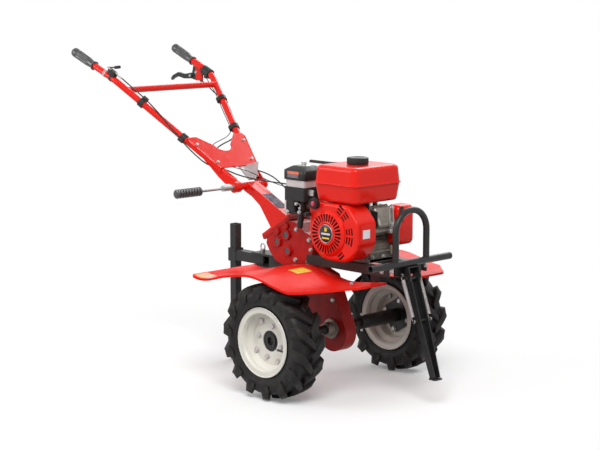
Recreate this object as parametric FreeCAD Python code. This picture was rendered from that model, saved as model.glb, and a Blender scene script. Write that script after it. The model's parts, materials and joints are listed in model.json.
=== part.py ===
import FreeCAD, Part
import math
import os

V = FreeCAD.Vector

# Garden tiller.  Millimetres.  +X is forward, +Y is the operator's left, +Z is up.
# Every shape is built with its X measured from the wheel axle and its Z from the ground,
# and is then moved so that the origin lies on the ground midway along the machine.
axle_x = 354.15

# ---- wheels ----
wheel_radius = 205.0
# the machine's heights are given for tyres of this radius, and all of it rises when their tops do
level_wheel_radius = 205.0
frame_rise = 2 * (wheel_radius - level_wheel_radius)
wheel_track_half = 315.0
tyre_width = 126.0
tyre_wall = 9.0
tyre_bead_gap = 0.3
rim_half_width = 55.0
rim_lip_radius = 123.0
rim_seat_radius = 101.5
rim_well_radius = 86.0
rim_wall = 3.0
disc_offset = 16.0
disc_wall = 4.0
disc_hole_radius = 37.0
disc_bolt_radius = 5.0
disc_hub_pitch_radius = 56.5
disc_bolt_turn = -14.0
axle_flats = 28.0
axle_half_length = 322.0
journal_radius = 17.5
journal_half = 64.0
hub_clearance = 0.05
hub_outer_radius = 25.0
hub_inner_y = 112.0
hub_flange_size = 108.0
hub_flange_wall = 8.0
hub_pin_radius = 5.0
hub_pin_y = 128.0
hub_pin_length = 66.0
valve_pitch_radius = 76.0
valve_turn = -22.0
valve_lean = (43.0, 18.0)
valve_base_radius = 5.5
valve_radius = 3.4
valve_base_length = 12.0
valve_cap_radius = 4.3
valve_cap_length = 12.0
valve_length = 45.0

# ---- gearbox and drive case ----
case_half_width = 62.0
drive_half_width = 27.0
drive_drum_radius = 70.0
drive_drum_drop = 14.0
drive_top = 412.0
axle_bore_radius = 18.5
seal_radius = 36.0
seal_length = 36.0
seal_bore_clearance = 0.06
flange_rear = (-324.0, 508.0)
flange_front = (-189.0, 595.0)
flange_thickness = 14.0
plug_radius = 12.0
boss_wall = 7.0
boss_height = 9.0
shaft_bosses = ((-195.0, 527.0), (-241.0, 497.0), (-188.0, 469.0))
small_bosses = ((-195.0, 560.0, 7.0), (-243.0, 535.0, 9.0))

# ---- column and handlebar ----
pivot_x = -455.0
pivot_z = 678.0
pivot_tube_radius = 14.0
pivot_tube_half = 60.0
pivot_rod_radius = 7.0
pivot_rod_clearance = 0.06
column_half_width = 27.0
column_wall = 3.0
arm_gap = 0.5
ear_radius = 21.0
tube_radius = 12.5
tube_wall = 2.5
tube_start = (-480.0, 57.2, 695.9)
tube_bend = (-949.0, 245.0, 1058.2)
tube_end = (-1185.0, 255.0, 1158.0)
tube_bend_radius = 140.0
crossbar_x = -903.0
crossbar_radius = 10.0
plate_wall = 4.0
plate_fit = 0.1
plate_fold = 16.0
plate_bolt_radius = 4.2
plate_bolts = (30.0, 132.0)
plate_notch = 86.0
plate_notch_half = 42.0
plate_inner_corner = 95.0
wing_top_x = -585.0
wing_edge = ((-585.0, 770.0), (-562.0, 747.0), (-531.0, 711.0), (-504.0, 686.0), (-473.0, 687.0))
wing_wall = 4.0
ear_width = 26.0
thin_ear_width = 6.0
thin_ear_head = 8.0
washer_wall = 3.0
plate_foot_x = -528.0
plate_bottom = 0.0
plate_top = 173.0
grip_radius = 18.0
grip_length = 134.0
grip_fit = 0.1
clamp_rod_length = 108.0
clamp_rod_radius = 5.0
clamp_nut_radius = 11.0
clamp_nut_length = 52.0
clamp_grip_radius = 17.0
clamp_grip_length = 119.0
clamp_grip_ribs = 8
strap_wall = 4.0
strap_side = (6.0, 41.0)
strap_top = (-514.0, 738.0)
strap_swing = 20.0

# ---- controls and cables ----
cable_radius = 2.5
wire_radius = 1.5
cable_clearance = 0.3
cable_arc_share = 0.45
clip_radius = 17.5
clip_length = 21.0
clip_lobe = 8.5
right_clips = (-842.0, -678.0)
left_clips = (-833.0, -704.0)
throttle_x = -964.0
throttle_length = 55.0
throttle_rise = 44.0
switch_x = -975.0
switch_radius = 20.0
switch_length = 45.0
clutch_plate = (-1055.0, -1006.0, 1032.0)
clutch_pivot = (-1066.0, 1050.0)
clutch_lever_width = 18.0
clutch_y = 245.0
shift_y = 86.0
shift_boss = (-80.0, 528.0)
control_plate = (-12.0, 37.0, 612.0, 700.0)
control_y = -12.0
# cables clipped to a tube: X on the tube's axis, then how far out and how far up from it
throttle_on_tube = ((-934.0, 0.0, 24.0), (-890.0, -3.0, 21.5), (-842.0, -8.0, 18.5), (-790.0, 5.0, 16.5), (-737.0, 14.0, 8.5),
                    (-682.0, 16.5, -5.5), (-626.0, 9.0, -18.5), (-572.0, -6.0, -24.0))
throttle_free = ((-540.0, -50.0, 735.0), (-505.0, -34.0, 720.0), (-453.0, -30.0, 712.0), (-405.0, -29.0, 709.0),
                 (-355.0, -28.0, 707.0), (-303.0, -26.0, 706.0), (-250.0, -21.0, 704.5), (-200.0, -13.0, 702.0),
                 (-150.0, -7.0, 699.0), (-105.0, -5.0, 695.0), (-60.0, -5.0, 692.0), (-20.3, -4.0, 690.0))
clutch_start = ((-1004.5, 244.0, 1031.0), (-976.0, 239.0, 1018.0))
clutch_on_tube = ((-926.0, -10.0, -40.0), (-893.0, -4.0, -31.0), (-862.0, 6.0, -19.5), (-828.0, 15.5, -9.0), (-787.0, 17.0, -4.0),
                  (-745.0, 13.0, -11.5), (-704.0, 3.0, -17.5))
clutch_free = ((-690.0, 132.0, 836.0), (-684.0, 104.0, 822.0), (-692.0, 74.0, 811.0), (-694.0, 46.0, 798.0),
               (-680.0, 26.0, 782.0), (-650.0, 19.0, 766.0), (-608.0, 24.0, 752.0), (-565.0, 34.0, 741.0),
               (-522.0, 45.0, 733.0), (-478.0, 53.0, 729.0), (-432.0, 59.0, 721.0), (-396.0, 64.0, 708.0),
               (-370.0, 71.0, 690.0), (-349.0, 80.0, 669.0), (-322.0, 91.0, 650.0), (-288.0, 101.0, 638.0),
               (-258.0, 108.0, 624.0), (-240.0, 113.0, 601.5))
wire_on_tube = ((-950.0, -19.5, -16.0), (-913.0, -17.0, -10.0), (-873.0, -15.5, -4.5), (-832.0, -15.0, -4.0), (-789.0, -15.5, -5.5),
                (-746.0, -14.5, -6.5), (-704.0, -15.0, -4.0))
wire_free = ((-699.0, 119.0, 848.0), (-698.0, 96.0, 834.0), (-706.0, 70.0, 823.0), (-712.0, 44.0, 812.0),
             (-706.0, 20.0, 797.0), (-684.0, 5.0, 779.0), (-650.0, -2.0, 763.0), (-610.0, -5.0, 751.0),
             (-565.0, -6.0, 742.0), (-520.0, -7.0, 737.0), (-475.0, -5.0, 733.0), (-430.0, 1.0, 722.0),
             (-385.0, 7.0, 708.0), (-338.0, 11.0, 696.0), (-288.0, 14.0, 688.0), (-236.0, 17.0, 683.0),
             (-184.0, 19.0, 677.0), (-132.0, 21.0, 668.0), (-82.0, 24.0, 654.0), (-36.0, 27.0, 636.0),
             (6.0, 29.0, 615.0), (41.1, 30.0, 598.3))

# ---- engine ----
crank_x = 125.0
crank_z = 580.0
engine_base_z = 474.0
fan_front_y = -172.0
fan_depth = 90.0
fan_radius = 95.0
fan_reach = 138.0
fan_rise = 103.0
fan_wall = 2.5
recoil_radius = 80.0
recoil_depth = 12.0
recoil_ring_outer = 67.0
recoil_ring_inner = 35.0
recoil_slots = 36
# arc slots of the fan housing: rows of (inner, outer) radius, then (first, last angle, rows) of each group
cover_slot_rows = ((85.0, 92.0), (97.0, 104.0), (109.0, 116.0))
cover_slot_groups = ((-18.0, -2.0, 3), (2.0, 15.0, 3), (33.0, 46.0, 3), (50.0, 64.0, 3), (-60.0, -42.0, 2))
crankcase_half = 82.0
cylinder_tilt = 25.0
cylinder_y = -16.0
cylinder_reach = 118.0
fin_half_width = 52.0
rocker_depth = 18.0
tank_size_x = 214.0
tank_size_y = 246.0
tank_height = 126.0
tank_centre = (146.0, -50.0)
tank_bottom_z = 686.0
tank_seam_height = 64.0
tank_corner = 26.0
tank_lip = 4.0
cap_radius = 38.0
cap_height = 25.0
seat_gap = 0.3
muffler_box = ((204.0, 46.0, 540.0), (252.0, 112.0, 655.0))
muffler_inlet = (214.0, 625.0)
muffler_stub_radius = 13.0
shield_box = ((210.0, 37.0, 527.0), (262.0, 122.0, 668.0))
shield_wall = 2.0
cleaner_low = (-147.0, -128.0)
cleaner_high = (-38.0, -20.0)
cleaner_leg_x = -92.0
cleaner_belly_z = 668.0
breather_top = (-68.0, -104.0)
breather_low = (-86.0, -104.0, 570.0)
breather_radius = 11.0
cleaner_cap_z = 741.0
cleaner_top_z = 789.0
cleaner_band_z = 716.0
cleaner_low_z = 618.0
belt_back_y = 98.0
belt_cover_depth = 46.0
belt_rear_radius = 84.0
belt_front_radius = 66.0

# ---- front frame, bumper and stand ----
bar_x = 353.0
bar_z = 486.0
bar_radius = 12.5
bar_half = 203.0
bar_wall = 2.5
hoop_half = 78.0
hoop_radius = 11.5
hoop_top_z = 667.0
hoop_bend = 74.0
rail_y = 82.0
rail_height = 32.0
rail_width = 30.0
rail_rear_x = -60.0
stand_pivot_z = 432.0
stand_pivot_x = 361.0
stand_length = 355.0
stand_lean = 18.0
stand_width = 44.0
stand_depth = 12.0
stand_low_width = 28.0
stand_wall = 4.0
spring_leg_drop = 148.0
spring_hook = (-11.0, 13.0)
spring_y = 42.0
spring_radius = 6.0
spring_pin_radius = 4.0
stand_pin_radius = 6.0
cheek_wall = 5.0
foot_width = 40.0
foot_length = 34.0
foot_wall = 5.0

# ---- fenders ----
fender_inner = 80.0
fender_outer = 387.0
fender_wall = 2.0
fender_front_x = 317.0
fender_corner_x = 150.0
fender_corner_y = 215.0
fender_lip = 7.0
fender_corner_radius = 40.0
fender_rear_x = -350.0

# ---- hitch ----
hitch_pin_x = -389.0
hitch_pin_radius = 6.0
hitch_pin_clearance = 0.1
drawbar_z = 407.0
drawbar_size = 38.0
drawbar_wall = 4.0
depth_bar_x = -540.0
depth_bar_size = 30.0
depth_bar_wall = 3.0
depth_bar_top = 525.0
sleeve_clearance = 0.5
sleeve_wall = 5.0
sleeve_height = 50.0
hitch_ear_wall = 8.0
hitch_mouth_x = -318.0
hitch_ear_gap = 0.5


def box(low, high):
    size = V(*high) - V(*low)
    return Part.makeBox(size.x, size.y, size.z, V(*low))


def cylinder(start, end, radius):
    start = V(*start)
    along = V(*end) - start
    return Part.makeCylinder(radius, along.Length, start, along)


def pipe_ring(start, end, outer, inner):
    return cylinder(start, end, outer).cut(cylinder(start, end, inner))


def side_face(points, y):
    """A flat face in the XZ plane at one Y, from its corner points."""
    corners = [V(x, y, z) for x, z in points]
    return Part.Face(Part.makePolygon(corners + [corners[0]]))


def side_prism(points, low_y, high_y):
    return side_face(points, low_y).extrude(V(0, high_y - low_y, 0))


def mirrored(shape):
    return shape.mirror(V(0, 0, 0), V(0, 1, 0))


def pair(shape):
    return Part.makeCompound([shape, mirrored(shape)])


def rounded(shape, radius, test):
    """Fillet the edges that the test picks."""
    edges = [edge for edge in shape.Edges if test(edge)]
    return shape.makeFillet(radius, edges)


def is_along(edge, axis):
    if len(edge.Vertexes) != 2:
        return False
    direction = edge.Vertexes[1].Point - edge.Vertexes[0].Point
    if direction.Length < 1e-6:
        return False
    return abs(abs(direction.normalize().dot(axis)) - 1) < 1e-6


def bent_path(points, radius):
    """A wire of straight runs joined by tangent arcs."""
    corners = [V(*point) for point in points]
    edges = []
    start = corners[0]
    for index in range(1, len(corners) - 1):
        corner = corners[index]
        into = (corner - corners[index - 1]).normalize()
        out = (corners[index + 1] - corner).normalize()
        turn = into.getAngle(out)
        reach = radius * math.tan(turn / 2)
        first = corner - into * reach
        last = corner + out * reach
        inward = (out - into).normalize()
        centre = corner + inward * (radius / math.cos(turn / 2))
        middle = centre - inward * radius
        edges.append(Part.LineSegment(start, first).toShape())
        edges.append(Part.Arc(first, middle, last).toShape())
        start = last
    edges.append(Part.LineSegment(start, corners[-1]).toShape())
    return Part.Wire(edges)


def rounded_outline(corners):
    """A closed wire in the XZ plane from (x, z, corner radius) with tangent arcs."""
    points = [V(x, 0, z) for x, z, _ in corners]
    radii = [radius for _, _, radius in corners]
    count = len(points)
    arcs = []
    for index in range(count):
        corner = points[index]
        into = (corner - points[index - 1]).normalize()
        out = (points[(index + 1) % count] - corner).normalize()
        turn = into.getAngle(out)
        reach = radii[index] * math.tan(turn / 2)
        inward = (out - into).normalize()
        centre = corner + inward * (radii[index] / math.cos(turn / 2))
        arcs.append((corner - into * reach, centre - inward * radii[index], corner + out * reach))
    edges = []
    for index in range(count):
        first, middle, last = arcs[index]
        edges.append(Part.Arc(first, middle, last).toShape())
        following = arcs[(index + 1) % count][0]
        if last.distanceToPoint(following) > 1e-6:
            edges.append(Part.LineSegment(last, following).toShape())
    return Part.Wire(edges)


def swept_rod(path, radius):
    first = path.Edges[0]
    start = first.valueAt(first.FirstParameter)
    tangent = first.tangentAt(first.FirstParameter)
    section = Part.Wire(Part.makeCircle(radius, start, tangent))
    return path.makePipeShell([section], True, False)


def swept_tube(path, outer, inner):
    return swept_rod(path, outer).cut(swept_rod(path, inner))


def wall_profile(points, wall):
    """A closed outline that follows an open line of (radius, offset) points at a set wall."""
    count = len(points)
    inner = []
    for index in range(count):
        before = V(*points[max(index - 1, 0)], 0)
        here = V(*points[index], 0)
        after = V(*points[min(index + 1, count - 1)], 0)
        along = (after - before).normalize()
        inner.append(here + V(-along.y, along.x, 0) * wall)
    outer = [V(x, y, 0) for x, y in points]
    loop = outer + inner[::-1]
    return Part.makePolygon(loop + [loop[0]])


def wheel_part(profile_wire):
    """A full turn about the wheel's own axis, profile in (radius, width)."""
    return Part.Face(profile_wire).revolve(V(0, 0, 0), V(0, 1, 0), 360)


def hex_bar(flats, low_y, high_y):
    corner = flats / math.sqrt(3)
    points = []
    for step in range(6):
        angle = math.radians(60 * step + 30)
        points.append((corner * math.cos(angle), wheel_radius + corner * math.sin(angle)))
    return side_prism(points, low_y, high_y)


def on_axle(shape, y):
    moved = shape.copy()
    moved.translate(V(0, y, wheel_radius))
    return moved


# ------------------------------------------------------------------ wheels

def make_axle():
    bar = hex_bar(axle_flats, -axle_half_length, axle_half_length)
    bar = bar.fuse(cylinder((0, -journal_half, wheel_radius), (0, journal_half, wheel_radius), journal_radius))
    for side in (-1, 1):
        bar = bar.cut(hub_pin(side, hub_clearance))
    return bar


def hub_pin(side, extra):
    y = side * hub_pin_y
    half = hub_pin_length / 2
    return cylinder((0, y, wheel_radius - half), (0, y, wheel_radius + half), hub_pin_radius + extra)


def disc_face_y():
    return wheel_track_half + disc_offset


def make_hub():
    """Left hub: sleeve on the hexagonal axle with the square flange that carries the wheel."""
    outer_y = disc_face_y()
    sleeve = cylinder((0, hub_inner_y, wheel_radius), (0, outer_y, wheel_radius), hub_outer_radius)
    half = hub_flange_size / math.sqrt(2)
    cut = half - 12.0
    corners = []
    for sign_x, sign_z in ((1, 1), (-1, 1), (-1, -1), (1, -1)):
        first = (sign_x * cut, wheel_radius + sign_z * (half - cut))
        last = (sign_x * (half - cut), wheel_radius + sign_z * cut)
        corners += [first, last] if sign_x * sign_z > 0 else [last, first]
    flange_back = outer_y - disc_wall - hub_flange_wall
    flange = side_prism(corners, flange_back, outer_y - disc_wall)
    flange.rotate(V(0, 0, wheel_radius), V(0, 1, 0), -disc_bolt_turn)
    hub = sleeve.fuse(flange)
    for step in range(4):
        angle = math.radians(90 * step + disc_bolt_turn)
        x = disc_hub_pitch_radius * math.cos(angle)
        z = wheel_radius + disc_hub_pitch_radius * math.sin(angle)
        hub = hub.cut(cylinder((x, flange_back - 1, z), (x, outer_y, z), disc_bolt_radius))
    bore = hex_bar(axle_flats + 2 * hub_clearance, hub_inner_y - 1, outer_y + 1)
    return hub.cut(bore).cut(hub_pin(1, hub_clearance)).removeSplitter()


def make_rim():
    """Left rim: two pressed halves as one profile, with the dished disc."""
    half = rim_half_width
    line = [
        (rim_lip_radius, -half),
        (rim_lip_radius - 4, -half + 3),
        (rim_seat_radius + 3, -half + 4),
        (rim_seat_radius, -half + 10),
        (rim_seat_radius, -half + 25),
        (rim_well_radius, -half + 38),
        (rim_well_radius, half - 38),
        (rim_seat_radius, half - 25),
        (rim_seat_radius, half - 10),
        (rim_seat_radius + 3, half - 4),
        (rim_lip_radius - 4, half - 3),
        (rim_lip_radius, half),
    ]
    barrel = wheel_part(wall_profile(line, rim_wall))
    disc = cylinder((0, disc_offset - disc_wall, 0), (0, disc_offset, 0), rim_well_radius - rim_wall + 0.5)
    disc = disc.cut(cylinder((0, 0, 0), (0, disc_offset + 1, 0), disc_hole_radius))
    for step in range(4):
        angle = math.radians(90 * step + disc_bolt_turn)
        x = disc_hub_pitch_radius * math.cos(angle)
        z = disc_hub_pitch_radius * math.sin(angle)
        disc = disc.cut(cylinder((x, 0, z), (x, disc_offset + 1, z), disc_bolt_radius))
    return on_axle(barrel.fuse(disc).removeSplitter(), wheel_track_half)


def tyre_half_line(shrink):
    """Points of half the tyre section from bead to crown, as (radius, offset)."""
    half = tyre_width / 2 - shrink
    bead = rim_seat_radius + tyre_bead_gap
    if shrink:
        bead = rim_seat_radius + 12.0
    return [
        (bead, rim_half_width - 10 - shrink),
        (rim_lip_radius + 4, rim_half_width - 4 - shrink),
        (wheel_radius - 50, half),
        (wheel_radius - 18 - shrink, half - 6),
        (wheel_radius - shrink, 0),
    ]


def make_tyre():
    """Left tyre: hollow carcass up to the tips of its lugs."""
    shells = []
    for shrink in (0.0, tyre_wall):
        bead, flank, widest, shoulder, crown = tyre_half_line(shrink)
        right = [V(r, -o, 0) for r, o in (bead, flank, widest, shoulder)]
        left = [V(r, o, 0) for r, o in (shoulder, widest, flank, bead)]
        side_r = Part.Arc(right[1], right[2], right[3]).toShape()
        side_l = Part.Arc(left[0], left[1], left[2]).toShape()
        edges = [
            Part.LineSegment(right[0], right[1]).toShape(),
            side_r,
            Part.Arc(right[3], V(crown[0], 0, 0), left[0]).toShape(),
            side_l,
            Part.LineSegment(left[2], left[3]).toShape(),
            Part.LineSegment(left[3], right[0]).toShape(),
        ]
        shells.append(wheel_part(Part.Wire(edges)))
    return on_axle(shells[0].cut(shells[1]), wheel_track_half)


def make_valve_stem():
    """Left valve: a rubber cone on the wheel disc, the stem that leans inwards, and its cap."""
    y = disc_face_y()
    turn = math.radians(valve_turn)
    seat = V(valve_pitch_radius * math.cos(turn), y, wheel_radius + valve_pitch_radius * math.sin(turn))
    along = V(0, *valve_lean).normalize()
    root = seat - along * valve_base_radius
    cone = Part.makeCone(valve_base_radius, valve_radius, valve_base_length + valve_base_radius, root, along)
    stem = Part.makeCylinder(valve_radius, valve_length, root, along)
    cap = Part.makeCylinder(valve_cap_radius, valve_cap_length, root + along * (valve_length - valve_cap_length), along)
    behind = box((0, y - valve_length, 0), (2 * valve_pitch_radius, y, 2 * wheel_radius))
    return cone.fuse([stem, cap]).cut(behind).removeSplitter()


# ------------------------------------------------------------------ gearbox

def flange_line():
    rear = V(flange_rear[0], 0, flange_rear[1])
    front = V(flange_front[0], 0, flange_front[1])
    along = (front - rear).normalize()
    return rear, front, along


def make_gearbox_case():
    rear, front, along = flange_line()
    inward = V(along.z, 0, -along.x)
    outline = [
        (rear.x + 26, rear.z + 4), (front.x - 4, front.z - 14), (-140, 574), (-104, 545),
        (-62, 536), (-62, drive_top), (-214, drive_top), (-256, 426), (-288, 458), (-304, 484),
    ]
    body = side_prism(outline, -case_half_width, case_half_width)
    body = rounded(body, 8.0, lambda edge: is_along(edge, V(0, 1, 0)) and edge.BoundBox.ZMax > drive_top + 1)
    corner_a = rear + inward * flange_thickness
    corner_b = front + inward * flange_thickness
    flange = side_prism(
        [(p.x, p.z) for p in (rear, front, corner_b, corner_a)], -case_half_width - 2, case_half_width + 2
    )
    body = body.fuse(flange)
    for x, z in shaft_bosses:
        body = body.fuse(cylinder((x, -case_half_width - boss_height, z), (x, case_half_width + boss_height, z),
                                  plug_radius + boss_wall))
        body = body.cut(cylinder((x, -case_half_width - boss_height, z), (x, -case_half_width, z), plug_radius))
    for x, z, radius in small_bosses:
        body = body.fuse(cylinder((x, -case_half_width - boss_height, z), (x, 0, z), radius + 4))
    x, z = shaft_bosses[0]
    body = body.fuse(cylinder((x, 0, z), (x, belt_back_y, z), 24.0))
    return body.removeSplitter()


def make_shaft_plugs():
    plugs = []
    for x, z in shaft_bosses:
        plugs.append(cylinder((x, -case_half_width - boss_height + 1.5, z), (x, -case_half_width, z), plug_radius))
    return Part.makeCompound(plugs)


def make_drive_case():
    """Chain case: a drum round the axle with straight flanks up to the gearbox."""
    radius = drive_drum_radius
    high = drive_top + frame_rise
    top = [(-214.0, high), (-62.0, high)]
    centre = V(0, 0, wheel_radius - drive_drum_drop)

    def tangent(point, side):
        reach = V(point[0], 0, point[1]) - centre
        spread = math.acos(radius / reach.Length)
        angle = math.atan2(reach.z, reach.x) + side * spread
        return centre.x + radius * math.cos(angle), centre.z + radius * math.sin(angle)

    rear_low = tangent((-270.0, high - 20), 1)
    front_low = tangent((-10.0, high - 12), -1)
    outline = [rear_low, (-258.0, high - 32), top[0], top[1], (-14.0, high - 16), front_low, (0.0, wheel_radius)]
    body = side_prism(outline, -drive_half_width, drive_half_width)
    drum = cylinder((0, -drive_half_width, centre.z), (0, drive_half_width, centre.z), radius)
    body = body.fuse(drum).removeSplitter()
    bore = cylinder((0, -drive_half_width - 1, wheel_radius), (0, drive_half_width + 1, wheel_radius), axle_bore_radius)
    return body.cut(bore)


def make_seal_cover():
    """Left seal cover: a stepped cone bolted to the drum."""
    inner = journal_radius + seal_bore_clearance
    low = drive_half_width
    line = [
        (inner, low), (seal_radius, low), (seal_radius, low + 8), (seal_radius - 10, low + 12),
        (seal_radius - 12, low + seal_length), (inner, low + seal_length),
    ]
    points = [V(r, y, 0) for r, y in line]
    cover = wheel_part(Part.makePolygon(points + [points[0]]))
    return on_axle(cover, 0)


# ------------------------------------------------------------------ column

def make_column():
    rear, front, along = flange_line()
    outline = [
        (pivot_x + 8, pivot_z + pivot_tube_radius), (-392, 667), (-218, 579.6), (-302, 525.4),
        (-316, 534), (-376, 612), (-420, 642), (pivot_x - 8, pivot_z - pivot_tube_radius - 4),
    ]
    face = side_face(outline, -column_half_width)
    body = face.extrude(V(0, 2 * column_half_width, 0))
    hollow = face.makeOffset2D(-column_wall).extrude(V(0, 2 * (column_half_width - column_wall), 0))
    hollow.translate(V(0, column_wall, 0))
    body = body.cut(hollow)
    outward = V(-along.z, 0, along.x)
    low = rear + outward * 8.0
    high = front + outward * 8.0
    plate = side_prism([(p.x, p.z) for p in (rear, front, high, low)], -case_half_width, case_half_width)
    tube = cylinder((pivot_x, -pivot_tube_half, pivot_z), (pivot_x, pivot_tube_half, pivot_z), pivot_tube_radius)
    body = body.fuse([plate, tube])
    bore = cylinder((pivot_x, -pivot_tube_half - 1, pivot_z), (pivot_x, pivot_tube_half + 1, pivot_z),
                    pivot_rod_radius + pivot_rod_clearance)
    return body.cut(bore).removeSplitter()


# ------------------------------------------------------------------ handlebar

def tube_point(x):
    """Point on the straight part of the left handle tube at one X."""
    share = (x - tube_start[0]) / (tube_bend[0] - tube_start[0])
    return tuple(a + (b - a) * share for a, b in zip(tube_start, tube_bend))


def tube_side(x, reach):
    """Y of the line along the left tube, a given distance outside its axis."""
    return tube_point(x)[1] + reach * math.hypot(1, tube_splay())


def make_handle_arm(side):
    """Arm: a sheet along the outside of the handle tube that ends in the clamp's ear, thick on the right only."""
    ear_y = pivot_tube_half + arm_gap
    reach = tube_radius + plate_fit
    foot = V(*tube_point(plate_foot_x))
    tube_top = V(*tube_point(wing_top_x))
    outline = [(pivot_x + ear_radius * 0.2, pivot_z + ear_radius * 0.98), (foot.x, foot.z + 4),
               (wing_top_x, tube_top.z + 4), *wing_edge,
               (pivot_x - ear_radius * 0.9, pivot_z - 2), (pivot_x - ear_radius * 0.4, pivot_z - ear_radius * 0.9),
               (pivot_x + ear_radius * 0.7, pivot_z - ear_radius * 0.7)]
    line = [V(x, tube_side(x, reach), z) for x, z in outline]
    outward = V(tube_splay(), 1, 0).normalize() * wing_wall
    sheet = Part.Face(Part.makePolygon(line + [line[0]])).extrude(outward)
    width = ear_width if side < 0 else thin_ear_width
    outer = ear_y + width
    ear = cylinder((pivot_x, ear_y, pivot_z), (pivot_x, outer, pivot_z), ear_radius)
    washer = cylinder((pivot_x, outer, pivot_z), (pivot_x, outer + washer_wall, pivot_z), ear_radius - 5)
    room = cylinder((pivot_x, 0, pivot_z), (pivot_x, ear_y, pivot_z), ear_radius + 30)
    rod = cylinder((pivot_x, 0, pivot_z), (pivot_x, 3 * ear_y, pivot_z), pivot_rod_radius + pivot_rod_clearance)
    head_room = cylinder((pivot_x, outer + washer_wall, pivot_z), (pivot_x, 3 * ear_y, pivot_z), ear_radius)
    arm = sheet.cut(room).cut(head_room).fuse([ear, washer]).cut(rod).removeSplitter()
    return mirrored(arm) if side < 0 else arm


def tube_slope():
    return math.atan2(tube_bend[2] - tube_start[2], tube_start[0] - tube_bend[0])


def tube_splay():
    """How far the left tube moves outwards for each millimetre that it runs back."""
    return (tube_bend[1] - tube_start[1]) / (tube_start[0] - tube_bend[0])


def plate_placement():
    """Plane of the gusset plate: it lies on both tubes."""
    slope = tube_slope()
    lift = tube_radius + plate_fit + plate_wall
    start = tube_point(plate_foot_x)
    base = V(start[0] + lift * math.sin(slope), 0, start[2] + lift * math.cos(slope))
    return base, slope


def plate_edge(along):
    """Half width of the plate's top face at a distance up its slope: it covers both tubes and arms."""
    lift = tube_radius + plate_fit + plate_wall
    x = plate_foot_x + lift * math.sin(tube_slope()) - along * math.cos(tube_slope())
    return tube_side(x, tube_radius + plate_fit + wing_wall)


def make_gusset_plate():
    """Sheet across both tubes with a notch at its top and a short fold along the outside of each tube."""
    base, slope = plate_placement()
    low = plate_edge(plate_bottom)
    top = plate_edge(plate_top)
    right = [V(plate_bottom, -low, 0), V(plate_top, -top, 0), V(plate_top, -plate_inner_corner, 0)]
    side = V(plate_notch + 34, -plate_notch_half, 0)
    notch = Part.Arc(side, V(plate_notch, 0, 0), V(side.x, plate_notch_half, 0)).toShape()
    left = [V(side.x, plate_notch_half, 0), V(plate_top, plate_inner_corner, 0), V(plate_top, top, 0),
            V(plate_bottom, low, 0), V(plate_bottom, -low, 0)]
    wire = Part.Wire([*Part.makePolygon(right + [side]).Edges, notch, *Part.makePolygon(left).Edges])
    plate = Part.Face(wire).extrude(V(0, 0, -plate_wall))
    plate = rounded(plate, 9.0, lambda edge: is_along(edge, V(0, 0, 1)) and edge.BoundBox.XMin > plate_top - 1)
    for along in plate_bolts:
        for sign in (-1, 1):
            y = sign * tube_point(plate_foot_x - along * math.cos(slope))[1]
            plate = plate.cut(Part.makeCylinder(plate_bolt_radius, 3 * plate_wall, V(along, y, -2 * plate_wall)))
    flip = FreeCAD.Placement(V(0, 0, 0), FreeCAD.Rotation(V(0, 0, 1), 180))
    lean = FreeCAD.Placement(base, FreeCAD.Rotation(V(0, 1, 0), math.degrees(slope)))
    plate.Placement = lean.multiply(flip)
    fold = make_plate_fold(base, slope)
    return plate.fuse([fold, mirrored(fold)]).removeSplitter()


def make_plate_fold(base, slope):
    """Left fold: an upright sheet just outside the arm, from the plate's top face down beside the tube."""
    reach = tube_radius + plate_fit + wing_wall + plate_fit
    up_slope = V(-math.cos(slope), 0, math.sin(slope))
    drop = V(0, 0, -plate_fold / math.cos(slope))
    first = base
    last = base + up_slope * (plate_top - 14)
    corners = [first, last, last + up_slope * -12 + drop, first + drop]
    line = [V(p.x, tube_side(p.x, reach), p.z) for p in corners]
    outward = V(tube_splay(), 1, 0).normalize() * plate_wall
    fold = Part.Face(Part.makePolygon(line + [line[0]])).extrude(outward)
    bridge = [first, last, last + V(0, 0, -plate_wall / math.cos(slope)), first + V(0, 0, -plate_wall / math.cos(slope))]
    line = [V(p.x, tube_side(p.x, reach - plate_fit - 1), p.z) for p in bridge]
    lip = Part.Face(Part.makePolygon(line + [line[0]])).extrude(outward * 0.5)
    return fold.fuse(lip)


def handle_path(side):
    points = [(x, side * y, z) for x, y, z in (tube_start, tube_bend, tube_end)]
    return bent_path(points, tube_bend_radius)


def make_handle_tubes():
    tubes = []
    for side in (-1, 1):
        tubes.append(swept_tube(handle_path(side), tube_radius, tube_radius - tube_wall))
    end = tube_point(crossbar_x)
    bar = cylinder((end[0], -end[1], end[2]), (end[0], end[1], end[2]), crossbar_radius)
    for side in (-1, 1):
        bar = bar.cut(swept_rod(handle_path(side), tube_radius))
    bar = max(bar.Solids, key=lambda solid: solid.Volume)
    return tubes[0].fuse([tubes[1], bar])


def grip_axis():
    end = V(*tube_end)
    along = (end - V(*tube_bend)).normalize()
    return end, along


def make_grip():
    """Left grip: a sleeve over the tube's end with a domed cap."""
    end, along = grip_axis()
    start = end - along * (grip_length - 6)
    body = Part.makeCylinder(grip_radius, grip_length, start, along)
    tip = end + along * 6
    body = rounded(body, 5.0, lambda edge: edge.CenterOfMass.distanceToPoint(tip) < 1)
    return body.cut(Part.makeCylinder(tube_radius + grip_fit, grip_length - 6, start, along))


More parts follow.
